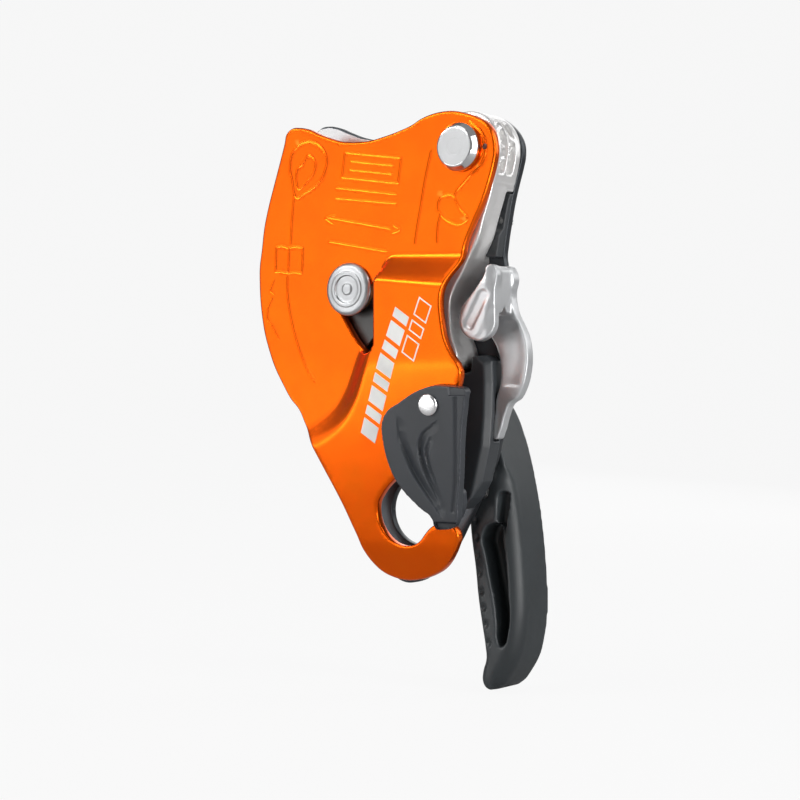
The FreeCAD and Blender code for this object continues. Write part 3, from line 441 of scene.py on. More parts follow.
def distance_to(points, line, closed=False):
    line = np.asarray(line, float)
    starts = line if closed else line[:-1]
    ends = np.roll(line, -1, 0) if closed else line[1:]
    nearest = np.full(len(points), 1e9)
    for start, end in zip(starts, ends):
        leg = end - start
        part = np.clip(((points - start) @ leg) / (leg @ leg + 1e-12), 0, 1)
        gap = points - start - part[:, None] * leg
        nearest = np.minimum(nearest, np.linalg.norm(gap, axis=1))
    return nearest


def trace(points, line):
    """Distance to a polyline, positive left of its travel, and the share of its legs passed."""
    nearest = np.full(len(points), 1e9)
    side = np.ones(len(points))
    along = np.zeros(len(points))
    for i, (start, end) in enumerate(zip(line[:-1], line[1:])):
        leg = end - start
        part = np.clip(((points - start) @ leg) / (leg @ leg), 0, 1)
        gap = points - start - part[:, None] * leg
        distance = np.linalg.norm(gap, axis=1)
        closer = distance < nearest
        left = leg[0] * gap[:, 1] - leg[1] * gap[:, 0] > 0
        side = np.where(closer, np.where(left, 1, -1), side)
        along = np.where(closer, (i + part) / (len(line) - 1), along)
        nearest = np.where(closer, distance, nearest)
    return nearest * side, along


def dense(line, step):
    """Straight legs cut into short ones."""
    line = np.asarray(line, float)
    result = [line[0]]
    for start, end in zip(line[:-1], line[1:]):
        count = max(1, math.ceil(np.linalg.norm(end - start) / step))
        result += [start + (end - start) * i / count for i in range(1, count + 1)]
    return np.array(result)


def curve(line, step):
    """Catmull-Rom curve through the points, closed if its ends meet."""
    line = np.asarray(line, float)
    knots = np.vstack([2 * line[0] - line[1], line, 2 * line[-1] - line[-2]])
    if np.allclose(line[0], line[-1]):
        knots[0], knots[-1] = line[-2], line[1]
    result = []
    for a, b, c, d in zip(knots, knots[1:], knots[2:], knots[3:]):
        count = max(1, math.ceil(np.linalg.norm(c - b) / step))
        for i in range(count):
            t = i / count
            result.append(0.5 * ((2 * b) + (c - a) * t + (2 * a - 5 * b + 4 * c - d) * t * t
                                 + (3 * b - a - 3 * c + d) * t ** 3))
    result.append(line[-1])
    return np.array(result)


def circle(x, z, radius, sides):
    angles = np.linspace(0, 2 * math.pi, sides, endpoint=False)
    return np.stack([x + radius * np.cos(angles), z + radius * np.sin(angles)], 1)


def polar(centre, radius, angle):
    return (centre[0] + radius * math.cos(angle), centre[1] + radius * math.sin(angle))


def kidney(first, last, radius=12.0, half=2.8, steps=24):
    """Round-ended slot about the axle between two angles in degrees."""
    angles = [math.radians(first + (last - first) * i / steps) for i in range(steps + 1)]
    outline = []
    for side, run, turned in ((1, angles, 0), (-1, angles[::-1], math.pi)):
        outline += [polar(AXLE, radius + side * half, angle) for angle in run]
        end = polar(AXLE, radius, run[-1])
        outline += [polar(end, half, run[-1] + turned + math.pi * i / 12) for i in range(1, 12)]
    return np.array(outline)


def ease(t):
    """Smooth 0..1 step."""
    t = np.clip(t, 0, 1)
    return t * t * (3 - 2 * t)


def hump(values, centre, half):
    """1 at the centre, easing to 0 at half to either side."""
    return ease(1 - np.abs(values - centre) / half)


# ------------------------------------------------------------------ plates


class Grooves:
    """Engraved lines, each with a width and a depth."""

    def __init__(self):
        self.items = []

    def add(self, groups, cut):
        """groups: (width, depth, lines); cut samples a line at a step."""
        for width, depth, lines in groups:
            self.items += [(cut(line, 0.4), width * 1.12, depth) for line in lines]

    def depth(self, points):
        result = np.zeros(len(points))
        for line, width, depth in self.items:
            low, high = line.min(0) - width, line.max(0) + width
            near = np.where(((points > low) & (points < high)).all(1))[0]
            if not len(near):
                continue
            across = distance_to(points[near], line) / (width / 2)
            cosine = 0.5 + 0.5 * np.cos(np.pi * np.minimum(across, 1))
            cut = np.where(across < 1, cosine, 0) * depth * 0.62
            result[near] = np.where(np.abs(cut) > np.abs(result[near]), cut, result[near])
        return result

    def points(self):
        """Five rows of mesh points along each line."""
        rows = []
        for line, width, _ in self.items:
            tangent = np.gradient(line, axis=0)
            tangent /= np.linalg.norm(tangent, axis=1)[:, None] + 1e-12
            normal = np.stack([-tangent[:, 1], tangent[:, 0]], 1)
            rows += [line + normal * width * share for share in (-0.5, -0.25, 0, 0.25, 0.5)]
        return np.vstack(rows)


def thin_out(extra, grid_points):
    """Merges close groove points, and drops grid points in or next to their cells."""
    cell = 0.35
    taken = set(map(tuple, np.round(extra / cell).astype(int)))
    keep = [i for i, place in enumerate(np.round(grid_points / cell).astype(int))
            if not any((place[0] + a, place[1] + b) in taken
                       for a in (-1, 0, 1) for b in (-1, 0, 1))]
    unique = {}
    for point in extra:
        unique.setdefault((round(point[0] / 0.07), round(point[1] / 0.07)), point)
    return [np.array(list(unique.values())), grid_points[keep]]


def cap(loops, grid, extra):
    """Triangulates inside the first loop and outside the others.
    Returns points, triangles and where each loop point went."""
    base = np.vstack(loops)
    low, high = loops[0].min(0), loops[0].max(0)
    columns = np.arange(low[0], high[0] + grid, grid)
    rows = np.arange(low[1], high[1] + grid, grid * 0.866)
    x, z = np.meshgrid(columns, rows)
    x = x + (np.arange(len(rows)) % 2)[:, None] * grid / 2
    fillers = []
    for points, clearance in ((extra, 0.12), (np.stack([x.ravel(), z.ravel()], 1), grid * 0.45)):
        if not len(points):
            continue
        points = points[within(points, loops)]
        for loop in loops:
            if len(points):
                points = points[distance_to(points, loop, True) > clearance]
        fillers.append(points)
    if len(fillers) == 2 and len(fillers[0]):
        fillers = thin_out(*fillers)
    edges = []
    for loop in loops:
        first, count = len(edges), len(loop)
        edges += [(first + i, first + (i + 1) % count) for i in range(count)]
    everything = [Vector(point) for point in np.vstack([base] + fillers)]
    points, _, faces, origins, _, _ = delaunay_2d_cdt(everything, edges, [], 0, 1e-7)
    points = np.array([tuple(point) for point in points])
    moved = {old: new for new, olds in enumerate(origins) for old in olds}
    triangles = np.array([face for face in faces if len(face) == 3])
    triangles = triangles[within(points[triangles].mean(1), loops)]
    return points, triangles, [moved[i] for i in range(len(base))]


RIM_STEPS = 3


def rim_rings(loop, sign, front, back, front_round, back_round):
    """Rings over a rounded rim, from the back face to the front: XZ points and their Y."""
    rings = []
    stops = [(back, back_round, -1, math.pi / 2 * (1 - i / RIM_STEPS))
             for i in range(RIM_STEPS + 1)]
    stops += [(front, front_round, 1, math.pi / 2 * i / RIM_STEPS)
              for i in range(RIM_STEPS + 1)]
    # small holes get a light edge, so close rims stay apart
    share = 0.4 if sign < 0 and abs(signed_area(loop)) < 60 else 1.0
    for face, rounding, inward, angle in stops:
        ring = offset(loop, sign * share * rounding * (1 - math.cos(angle)))
        rings.append((ring, face(ring) + inward * (share * rounding * (1 - math.sin(angle)))))
    return rings


def slab(name, outline, holes, front, back, material, front_round, back_round, grid, step,
         angle, back_grid=None, grooves=None):
    """Plate between two faces over XZ with rounded rims; front and back give Y at points."""
    loops = [resample(outline, step)]
    for hole in holes:
        loops.append(resample(hole if signed_area(hole) > 0 else hole[::-1], min(step, 0.5)))
    points, faces, ends = [], [], []
    for k, loop in enumerate(loops):
        sign = -1 if k else 1
        rings = rim_rings(loop, sign, front, back, front_round, back_round)
        ids = []
        for ring, depths in rings:
            ids.append(list(range(len(points), len(points) + len(ring))))
            points += [(x, y, z) for (x, z), y in zip(ring, depths)]
        for lower, upper in zip(ids[:-1], ids[1:]):
            count = len(lower)
            for i in range(count):
                j = (i + 1) % count
                face = (lower[i], lower[j], upper[j], upper[i])
                faces.append(face[::sign])
        ends.append(((ids[0], rings[0][0]), (ids[-1], rings[-1][0])))
    none = np.zeros((0, 2))
    for side, face_y, spacing in ((0, back, back_grid or grid), (1, front, grid)):
        engraved = grooves if side == 1 else None
        extra = engraved.points() if engraved else none
        flat, triangles, moved = cap([end[side][1] for end in ends], spacing, extra)
        local = dict(zip(moved, [i for end in ends for i in end[side][0]]))
        depths = face_y(flat)
        if engraved:
            depths = depths + engraved.depth(flat)
        for i, (x, z) in enumerate(flat):
            if i not in local:
                local[i] = len(points)
                points.append((x, depths[i], z))
        for triangle in triangles:
            face = tuple(local[int(i)] for i in triangle)
            faces.append(face if side == 1 else face[::-1])
    piece = new_piece(name, np.array(points), faces, [material], angle)
    seal(piece)
    return piece


def seal(piece):
    """Drops loose scraps of a few faces and closes any gap between a rim and its face."""
    work = bmesh.new()
    work.from_mesh(piece.data)
    seen, scraps = set(), []
    for face in work.faces:
        if face.index in seen:
            continue
        group, todo = [], [face]
        seen.add(face.index)
        while todo:
            current = todo.pop()
            group.append(current)
            for edge in current.edges:
                for neighbour in edge.link_faces:
                    if neighbour.index not in seen:
                        seen.add(neighbour.index)
                        todo.append(neighbour)
        if len(group) < 12:
            scraps += group
    if scraps:
        bmesh.ops.delete(work, geom=scraps, context="FACES")
    gaps = [edge for edge in work.edges if edge.is_boundary]
    if gaps:
        filled = bmesh.ops.holes_fill(work, edges=gaps, sides=0)["faces"]
        bmesh.ops.triangulate(work, faces=filled)
    work.to_mesh(piece.data)
    work.free()


# ------------------------------------------------------------------ turned pieces


def on_axis(centre):
    """Moves points from the Y axis to the parallel axis through centre (x, z)."""
    shift = np.array([centre[0], 0, centre[1]])
    return lambda points: points + shift


def revolve(profile, count):
    """Points, faces and each face's band for a (radius, y) profile turned about Y."""
    points, faces, bands, rows = [], [], [], []
    for radius, y in profile:
        first = len(points)
        if radius == 0:
            rows.append([first] * count)
            points.append((0, y, 0))
            continue
        rows.append(list(range(first, first + count)))
        for k in range(count):
            angle = 2 * math.pi * k / count
            points.append((radius * math.cos(angle), y, radius * math.sin(angle)))
    for band, (low, high) in enumerate(zip(rows[:-1], rows[1:])):
        for k in range(count):
            j = (k + 1) % count
            # a pole fills two corners, so the quad there becomes a triangle
            faces.append(tuple(dict.fromkeys((low[k], low[j], high[j], high[k]))))
            bands.append(band)
    return np.array(points, float), faces, bands


def lathe(name, profile, place, materials, count, split=math.inf):
    """Turned piece; bands from split on take the second material."""
    points, faces, bands = revolve(profile, count)
    indices = [int(band >= split) for band in bands]
    return new_piece(name, place(points), faces, materials, 30, indices)


def fasteners(node, rows):
    """Rivets or screws with a domed, dimpled head on the back of the rear plate."""
    points, faces = [], []
    for x, z, shank, start, head, height, _ in rows:
        profile = [(0, start), (shank - 0.15, start), (shank, start + 0.15), (shank, REAR_HALF),
                   (head - 0.1, REAR_HALF), (head, REAR_HALF + 0.1)]
        # shares of the head's radius and height over the dome
        dome = [(0.985, 0.35), (0.9, 0.66), (0.72, 0.9), (0.5, 0.985), (0.34, 1)]
        profile += [(head * wide, REAR_HALF + height * high) for wide, high in dome]
        profile += [(head * 0.3, REAR_HALF + height - 0.12), (0, REAR_HALF + height - 0.14)]
        turned, turned_faces, _ = revolve(profile, 48)
        faces += [tuple(i + len(points) for i in face) for face in turned_faces]
        points += list(on_axis((x, z))(turned))
    piece = new_piece(node + "_turned", points, faces, [BRUSHED], 30)
    put(piece, "stainless", "frame", node)


# ------------------------------------------------------------------ cast and moulded pieces


def remesh(piece, voxel, passes):
    """An even mesh over the piece, softened by smoothing passes."""
    voxels = piece.modifiers.new("r", "REMESH")
    voxels.mode = "VOXEL"
    voxels.voxel_size = voxel * MM
    voxels.use_smooth_shade = True
    smoothing = piece.modifiers.new("s", "SMOOTH")
    smoothing.factor = 0.5
    smoothing.iterations = passes
    graph = bpy.context.evaluated_depsgraph_get()
    materials = list(piece.data.materials)
    mesh = bpy.data.meshes.new_from_object(piece.evaluated_get(graph))
    piece.modifiers.clear()
    piece.data = mesh
    mesh.materials.clear()
    for material in materials:
        mesh.materials.append(material)


def sculpt(piece, shape):
    """Moves the vertices: shape takes points in mm and normals, and returns points."""
    mesh = piece.data
    points, normals = np.empty(len(mesh.vertices) * 3), np.empty(len(mesh.vertices) * 3)
    mesh.vertices.foreach_get("co", points)
    mesh.vertices.foreach_get("normal", normals)
    points = shape(points.reshape(-1, 3) / MM, normals.reshape(-1, 3))
    mesh.vertices.foreach_set("co", (points * MM).ravel())
    mesh.update()


def cast_copy(node, name, voxel, passes, shape=None, second=None):
    """Softened, sculpted copy of a CAD node; second is a later remesh (voxel, passes)."""
    piece = add_object(name, NODES[node].data.copy())
    remesh(piece, voxel, passes)
    if shape:
        sculpt(piece, shape)
    shade(piece, 60)
    if second:
        remesh(piece, *second)
        shade(piece, 60)
    return piece


# ------------------------------------------------------------------ plate outlines, x and z
LEFT = [
    (-36.5, 33.0), (-38.99, 35.44), (-42.89, 41.06), (-46.06, 46.43), (-48.43, 52.11),
    (-50.01, 56.87), (-51.43, 63.82), (-52.02, 68.58), (-52.3, 73.54), (-52.3, 79.16),
    (-51.43, 85.05), (-50.39, 92.32), (-48.68, 98.98), (-46.56, 105.52), (-44.04, 113.06)]
REAR_OUTLINE = [
    (-5.6, -23.4), (-10.0, -21.6), (-14.0, -18.0), (-16.9, -12.4), (-18.3, -8.7), (-20.0, -4.2),
    (-22.0, 1.05), (-24.4, 6.0), (-27.0, 11.2), (-30.2, 18.0), (-33.3, 26.0), *LEFT[1:],
    (-43.0, 119.5), (-42.2, 123.6), (-39.2, 126.2), (-35.4, 126.5), (-31.7, 125.6),
    (-27.5, 123.8), (-22.5, 121.9), (-14.0, 120.2), (-5.0, 120.6), (4.0, 122.6), (13.0, 124.6),
    (18.5, 125.2), (22.7, 125.3), (27.3, 124.9), (30.9, 123.5), (34.0, 121.3), (36.5, 118.5),
    (38.0, 115.3), (38.2, 111.7), (37.3, 107.6), (36.2, 103.9), (34.7, 98.5), (33.2, 91.2),
    (32.1, 84.9), (31.6, 80.0), (32.6, 75.5), (33.8, 71.0), (33.8, 64.0), (32.6, 58.0),
    (31.6, 50.0), (31.7, 41.9), (31.3, 30.9), (30.6, 26.8), (29.7, 22.0), (28.2, 16.7),
    (25.2, 10.0), (21.9, 3.6), (17.8, -3.8), (14.4, -9.8), (9.8, -15.9), (5.1, -20.0),
    (-0.3, -22.8)]
FRONT_OUTLINE = [
    (-41.94, 119.62), (-41.2, 122.4), (-39.2, 124.0), (-35.3, 124.1), (-32.0, 123.3),
    (-28.3, 121.6), (-23.4, 119.8), (-18.6, 118.4), (-13.7, 117.9), (-8.2, 117.9),
    (-2.6, 118.8), (3.8, 120.3), (7.7, 121.5), (11.5, 123.3), (15.3, 124.4), (19.0, 124.9),
    (23.9, 124.7), (27.3, 123.9), (31.7, 122.3), (35.0, 120.5), (37.1, 118.1), (38.4, 114.3),
    (38.6, 110.6), (37.9, 107.0), (36.4, 102.1), (34.0, 96.0), (30.8, 89.9), (27.9, 83.77),
    (26.2, 77.4), (24.4, 74.0), (23.1, 70.8), (22.2, 68.0), (22.0, 65.5), (22.5, 60.3),
    (23.6, 54.9), (26.3, 49.4), (28.4, 46.6), (29.1, 44.4), (28.6, 41.5), (26.4, 37.0),
    (22.0, 29.0), (16.0, 22.5), (9.0, 16.6), (1.6, 11.0), (-3.78, 5.99), (-5.77, 3.1),
    (-6.23, -0.17), (-5.53, -3.83), (-3.63, -7.02), (-0.48, -9.54), (2.82, -10.43),
    (6.23, -10.06), (9.06, -8.55), (11.2, -6.25), (13.5, -4.15), (16.52, -2.81),
    (19.82, -2.69), (22.5, -3.9), (23.65, -6.73), (22.39, -9.97), (19.68, -13.75),
    (15.83, -17.22), (10.76, -19.76), (5.45, -21.32), (0.46, -21.79), (-3.77, -21.19),
    (-8.12, -19.29), (-11.12, -16.26), (-13.33, -12.36), (-14.72, -8.68), (-16.76, -4.23),
    (-19.18, 1.05), (-21.7, 5.93), (-24.65, 11.23), (-28.05, 17.34), (-29.85, 20.62),
    (-33.32, 27.38), *LEFT]
# Middle of the step between the low and raised parts, from the top down
STEP = curve([(-7.6, 62.0), (-7.6, 55.0), (-7.9, 51.0), (-10.2, 45.2), (-13.4, 38.0),
              (-18.2, 31.2), (-25.7, 25.8), (-35.0, 21.8), (-46.0, 17.5)], 1.5)

# ------------------------------------------------------------------ front plate surface


def raised(z):
    """Y of the raised part's front face, with two rounded bends back."""
    def soft(t, half=2.5):
        rounded = (t + half) ** 2 / (4 * half)
        return np.where(t < -half, 0.0, np.where(t > half, t, rounded))
    y = np.full_like(z, BASE_Y - LIFT)
    y += soft(BEND_Z - z) * BEND_SLOPE
    y += soft(BEND_Z - BEND_RUN - z) * (STEEP_SLOPE - BEND_SLOPE)
    return y


def bend(t, end=0.34):
    """0..1 ramp, straight in the middle with rounded ends."""
    t = np.clip(t, 0, 1)
    first = t * t / (2 * end)
    last = 1 - end - (1 - t) ** 2 / (2 * end)
    return np.where(t < end, first, np.where(t > 1 - end, last, t - end / 2)) / (1 - end)


def front(points):
    """Y of the front face."""
    x, z = points[:, 0], points[:, 1]
    # ramp down from the raised part, between two slightly sloping lines
    low_line = 82.0 - 0.4 * (x / 28.0)
    high_line = np.clip(72.4 - 3.2 * (x + 2.3) / 26.4, 68.4, 72.6)
    upper = bend((low_line - z) / (low_line - high_line))
    left_end = -4.6 + np.maximum(0.0, z - 72.0) * 0.55
    upper = upper * ease((x - left_end + 1.2) / 2.4)
    # lower part: across the step, and a short upright step above it
    lower = ease(0.5 + trace(points, STEP)[0] / 8.6)
    lower = np.where(z > 51, ease((x + 5.8) / 2.4), lower)
    share = np.where(z > 62, upper, lower)
    return BASE_Y * (1 - share) + raised(z) * share


# ------------------------------------------------------------------ front plate
DROP = [(-37.8, 102.8), (-38.7, 107.9), (-39.6, 111.0), (-39.1, 115.1), (-37.5, 117.5),
        (-34.6, 119.3), (-31.4, 119.6), (-28.3, 118.6), (-25.8, 116.2), (-24.6, 113.1),
        (-25.2, 110.1), (-27.1, 106.7), (-30.2, 104.3), (-34.0, 102.6), (-36.2, 101.4),
        (-37.8, 102.8)]
FLAME = [(-35.9, 104.2), (-37.0, 107.8), (-36.5, 110.8), (-34.6, 112.2), (-33.0, 114.2),
         (-31.8, 115.3), (-29.9, 113.9), (-29.2, 111.4), (-30.2, 108.9), (-32.7, 106.5),
         (-35.9, 104.2)]
# Groups of width, depth and lines of x, z
CURVED_GROOVES = [
    (0.85, 0.26, [DROP]),
    (0.8, 0.24, [
        FLAME,
        [(-37.8, 102.8), (-38.4, 97.7), (-38.9, 92.7), (-39.2, 86.6)],
        [(-40.6, 76.4), (-40.6, 71.3), (-40.0, 66.2), (-38.7, 60.6), (-37.0, 55.4),
         (-35.2, 50.8), (-32.7, 45.7), (-29.6, 41.7)]]),
    (0.75, 0.22, [
        [(29.9, 121.2), (33.3, 118.1), (35.0, 115.1), (35.2, 111.3), (33.9, 108.0),
         (31.1, 105.9), (27.7, 102.7), (24.8, 100.0), (24.0, 98.2)],
        [(24.0, 98.2), (22.0, 99.2), (19.1, 98.4), (18.0, 95.6), (19.1, 93.1), (21.4, 91.1),
         (25.4, 89.7), (28.2, 90.7), (28.8, 91.9), (26.0, 94.7), (24.0, 98.2)],
        [(19.1, 93.1), (18.0, 89.8), (17.7, 84.5)]]),
    (0.7, 0.22, [[(15.4, 112.7), (13.3, 104.6), (11.6, 96.0), (10.4, 90.2), (9.4, 84.4)]])]
STRAIGHT_GROOVES = [
    (0.75, 0.24, [
        [(-45.5, 77.6), (-45.2, 85.8), (-42.6, 86.0), (-40.0, 85.3), (-37.1, 85.7),
         (-34.3, 85.1), (-34.6, 76.7), (-37.5, 77.3), (-40.2, 76.9), (-42.9, 77.6),
         (-45.5, 77.6)]]),
    (0.7, 0.22, [[(-40.0, 85.3), (-40.2, 76.9)]]),
    (0.7, 0.2, [[(-20.5, 103.8), (2.2, 100.4)], [(-20.8, 100.5), (2.2, 97.5)]]),
    (0.8, 0.22, [[(-23.9, 94.4), (-0.2, 89.7)], [(-23.3, 86.6), (-1.4, 82.6)]]),
    (0.75, 0.22, [[(-21.4, 95.0), (-25.2, 94.2), (-22.1, 92.3)],
                  [(1.3, 90.6), (4.0, 89.1), (1.0, 88.2)]]),
    (0.7, 0.2, [[(-46.1, 75.1), (-47.8, 71.5), (-46.5, 70.5)],
                [(-46.8, 69.2), (-48.7, 65.9), (-49.0, 62.3), (-47.1, 60.2), (-44.2, 55.6)]]),
    (0.8, 0.22, [[(-18.67, 107.07), (-17.49, 114.99), (4.27, 111.73), (3.09, 103.81),
                  (-18.67, 107.07)]]),
    (0.7, 0.2, [[(-15.0, 112.0), (1.0, 109.6)], [(-15.4, 109.3), (0.6, 106.9)]])]
grooves = Grooves()
grooves.add(CURVED_GROOVES, curve)
grooves.add(STRAIGHT_GROOVES, dense)

# Opening that clears the axle head along an arc
NOTCH = [(-17.53, 65.87), (-19.4, 64.2), (-18.6, 62.8), (-14.6, 56.7), (-12.0, 53.4),
         (-9.0, 50.6), (-7.9, 50.1), (-4.9, 50.7), (-3.0, 52.9), (-3.0, 72.6), (-10.17, 72.45)]
NOTCH_ARC = [polar(AXLE, 5.45, math.radians(angle)) for angle in range(22, 246, 6)]

front_holes = [dense(NOTCH + NOTCH_ARC + [NOTCH[0]], 0.4)[:-1], circle(*PIVOT, 4.05, 48),
               circle(GATE_PIN[0], GATE_PIN[1] + 0.2, 2.5, 32), circle(14.61, 36.35, 0.9, 20)]
put(slab("front_plate_skin", biarcs(FRONT_OUTLINE, 0.6), front_holes, front,
         lambda points: front(points) + FRONT_THICKNESS, ORANGE, front_round=0.7,
         back_round=0.5, grid=1.0, back_grid=1.6, step=0.7, angle=50, grooves=grooves),
    "orange_anodised", "front_plate", "mobile_side_plate")

# Dark red dimple beside the pivot
DIMPLE = [(0, BASE_Y - 0.06), (0.75, BASE_Y - 0.05), (0.95, BASE_Y + 0.06),
          (0.95, BASE_Y + 0.4), (0, BASE_Y + 0.4)]
put(lathe("pivot_dimple", DIMPLE, on_axis((34.9, 112.9)), [ENAMEL], 32),
    "orange_anodised", "front_plate")


def printed_bars(name, start, end, height, widths, gap=1.3, lean=0.22, frame=0.0):
    """Row of leaning white bars along a line on the raised part, hollow if frame is given."""
    start, end = np.array(start, float), np.array(end, float)
    length = np.linalg.norm(end - start)
    along = (end - start) / length
    across = np.array([-along[1], along[0]])
    points, faces = [], []

    def patch(left, right, low, high):
        columns = max(2, int((right - left) / 0.6))
        rows = max(2, int((high - low) / 0.6))
        base = len(points)
        for lift in (-0.045, 0.12):                 # print face, then its buried back
            for i in range(columns + 1):
                for j in range(rows + 1):
                    rise = low + (high - low) * j / rows
                    run = left + (right - left) * i / columns + lean * rise
                    x, z = place = start + along * run + across * rise
                    points.append((x, float(front(place[None])[0]) + lift, z))

        def index(layer, i, j):
            return base + (layer * (columns + 1) + i) * (rows + 1) + j

        for i in range(columns):
            for j in range(rows):
                face = [(i, j), (i + 1, j), (i + 1, j + 1), (i, j + 1)]
                faces.append([index(0, *corner) for corner in face])
                faces.append([index(1, *face[k]) for k in (0, 3, 2, 1)])
        rim = [(i, 0) for i in range(columns)] + [(columns, j) for j in range(rows)]
        rim += [(i, rows) for i in range(columns, 0, -1)] + [(0, j) for j in range(rows, 0, -1)]
        for near, far in zip(rim, rim[1:] + rim[:1]):
            faces.append((index(0, *near), index(1, *near), index(1, *far), index(0, *far)))

    gaps = [gap] * (len(widths) - 1) + [0]
    total = sum(width + space for width, space in zip(widths, gaps))
    half = height / 2
    left = 0.0
    for width, space in zip(widths, gaps):
        width, space = width * length / total, space * length / total
        right = left + width
        if frame:
            patch(left, right, -half, -half + frame)
            patch(left, right, half - frame, half)
            patch(left, left + frame, -half + frame + 0.02, half - frame - 0.02)
            patch(right - frame, right, -half + frame + 0.02, half - frame - 0.02)
        else:
            patch(left, right, -half, half)
        left += width + space
    put(new_piece(name, points, faces, [PRINT], 30), "orange_anodised", "front_plate")


printed_bars("print_bars_wide", start=(-7.2, 23.6), end=(8.3, 62.9), height=6.0,
             widths=[5.2, 3.0] * 4)
printed_bars("print_bars_thin", start=(10.3, 48.9), end=(16.9, 66.0), height=5.4,
             widths=[5, 3, 5], frame=0.45)

# ------------------------------------------------------------------ rear plate


def leg_hole(radius, bend, angle):
    """Where a coil's leg meets the plate, bend beyond the coil along its tangent."""
    return (AXLE[0] + radius * math.cos(angle) - bend * math.sin(angle),
            AXLE[1] + radius * math.sin(angle) + bend * math.cos(angle))


def flat(y):
    return lambda points: np.full(len(points), float(y))


cam_leg = leg_hole(CAM_COIL["radius"], -CAM_COIL["bend"], math.radians(CAM_COIL["start"]))
lever_leg = leg_hole(LEVER_COIL["radius"], LEVER_COIL["bend"],
                     math.radians(LEVER_COIL["start"] + 360 * 0.9))
rear_holes = [circle(0, 0, 11.0, 120), circle(*PIVOT, 4.0, 48), circle(*AXLE, 4.0, 48),
              kidney(168, 196), circle(*cam_leg, 0.8, 16), circle(*lever_leg, 0.85, 16)]
rear_holes += [circle(x, z, shank, sides) for rows in FASTENERS.values()
               for x, z, shank, _, _, _, sides in rows]
put(slab("rear_plate_skin", biarcs(REAR_OUTLINE, 0.6), rear_holes, flat(-REAR_HALF),
         flat(REAR_HALF), DARK, front_round=0.35, back_round=0.6, grid=5.0, step=0.7, angle=40),
    "dark_anodised", "frame", "fixed_side_plate")

# ------------------------------------------------------------------ cast friction block
# Ribs in the pocket right of the pivot: start (y, z), end (y, z), width, height
POCKET_RIBS = [((-13.2, 121.0), (-5.0, 115.5), 0.75, 1.9), ((-12.8, 108.6), (-5.6, 113.6), 0.8, 1.7),
               ((-12.6, 114.6), (-6.0, 112.2), 0.6, 1.2), ((-9.4, 116.0), (-7.6, 106.0), 0.6, 1.5),
               ((-13.0, 104.6), (-9.0, 107.6), 0.9, 1.8)]


def block_shape(points, normals):
    x, y, z = points.T.copy()
    right = np.clip(normals[:, 0] * 2.0, 0, 1)
    # valley and shallow hollow in the right face
    points[:, 0] -= 1.1 * (hump(z, 86.0, 10.0) * hump(y, -10.4, 4.6)) * right
    points[:, 0] -= 0.35 * (hump(z, 97.5, 5.0) * hump(y, -9.5, 5.5)) * right
    # ribbed pocket: a wavy middle wall, with ribs on the floor
    reach = np.hypot(x - PIVOT[0], z - PIVOT[1])
    pocket = (reach < 11.3) & (reach > 7.0) & (x > PIVOT[0] + 2) & (y < -4) & (y > -13.6)
    ribs = np.zeros(len(x))
    side_view = np.stack([y, z], 1)
    for start, end, width, height in POCKET_RIBS:
        across = distance_to(side_view, [start, end]) / width
        ribs = np.maximum(ribs, height * np.exp(-across ** 2))
    wall = pocket & (np.abs(y + 9.0) < 0.9)
    cut = -2.4 * (0.5 + 0.5 * np.sin(z * 1.15 + 0.4)) * ease((reach - 8.8) / 1.2)
    move = np.where(wall, cut, np.where(pocket & (reach < 9.6), ribs * 1.35, 0))
    points[:, 0] += (x - PIVOT[0]) / (reach + 1e-9) * move
    points[:, 2] += (z - PIVOT[1]) / (reach + 1e-9) * move
    # uneven casting skin in the pocket
    waves = np.sin(z * 1.05 + 1.6 * np.sin(y * 0.9)) * np.sin(y * 1.5 + 1.1 * np.sin(z * 0.7))
    skin = 0.34 * waves + 0.16 * np.sin(z * 2.7 + y)
    points[:, 0] += np.where(pocket, skin, 0)
    # fine seam across the right face
    points[:, 0] -= 0.12 * (np.exp(-((z - 102.3) / 0.35) ** 2) * right)
    return points


put(cast_copy("friction_block", "friction_block_cast", voxel=0.36, passes=5,
              shape=block_shape, second=(0.30, 5)),
    "stainless_cast", "frame", "friction_block")

# ------------------------------------------------------------------ braking spur


def spur_shape(points, normals):
    x, y, z = points.T.copy()
    plan = np.stack([x, z], 1)
    face = y < -15.2
    boss = face & (np.hypot(x - 29.6, z - 60.6) < 4.2)
    points[:, 1] = np.where(boss, np.minimum(points[:, 1], -16.25), points[:, 1])
    # recess along the lobe, whose outer shoulder and right crest roll back
    lobe = distance_to(plan, [(27.8, 59.0), (29.8, 62.4), (32.8, 67.8)])
    points[:, 1] += np.where(face, 0.55 * (1 - ease((lobe - 0.9) / 1.5)), 0)
    points[:, 1] += np.where(face, 0.5 * ease((lobe - 3.4) / 2.6), 0)
    points[:, 1] += np.where(face, 0.9 * ease((x - 33.0) / 4.0), 0)
    # hollow at the root of the leg
    leg = (y > -6.5) & (z < 60) & (z > 40) & (normals[:, 1] < -0.5)
    from_leg = distance_to(plan, [(37.0, 58.0), (38.6, 49.0), (36.6, 41.0)])
    points[:, 1] += np.where(leg, 0.35 * (1 - ease(from_leg / 4.5)), 0)
    return points


put(cast_copy("braking_spur", "braking_spur_cast", voxel=0.30, passes=9, shape=spur_shape,
              second=(0.27, 9)),
    "stainless_cast", "frame", "braking_spur")

# ------------------------------------------------------------------ plastic guards
put(cast_copy("inner_guard", "inner_guard_moulded", voxel=0.34, passes=6),
    "black_plastic", "frame", "inner_guard")


def guard_shape(points, normals):
    """Cuts the front back to a limit, thinner towards the top."""
    limit = -5.4 + 1.9 * ease((points[:, 2] - 86.5) / 3.0)
    points[:, 1] = np.maximum(points[:, 1], limit)
    return points


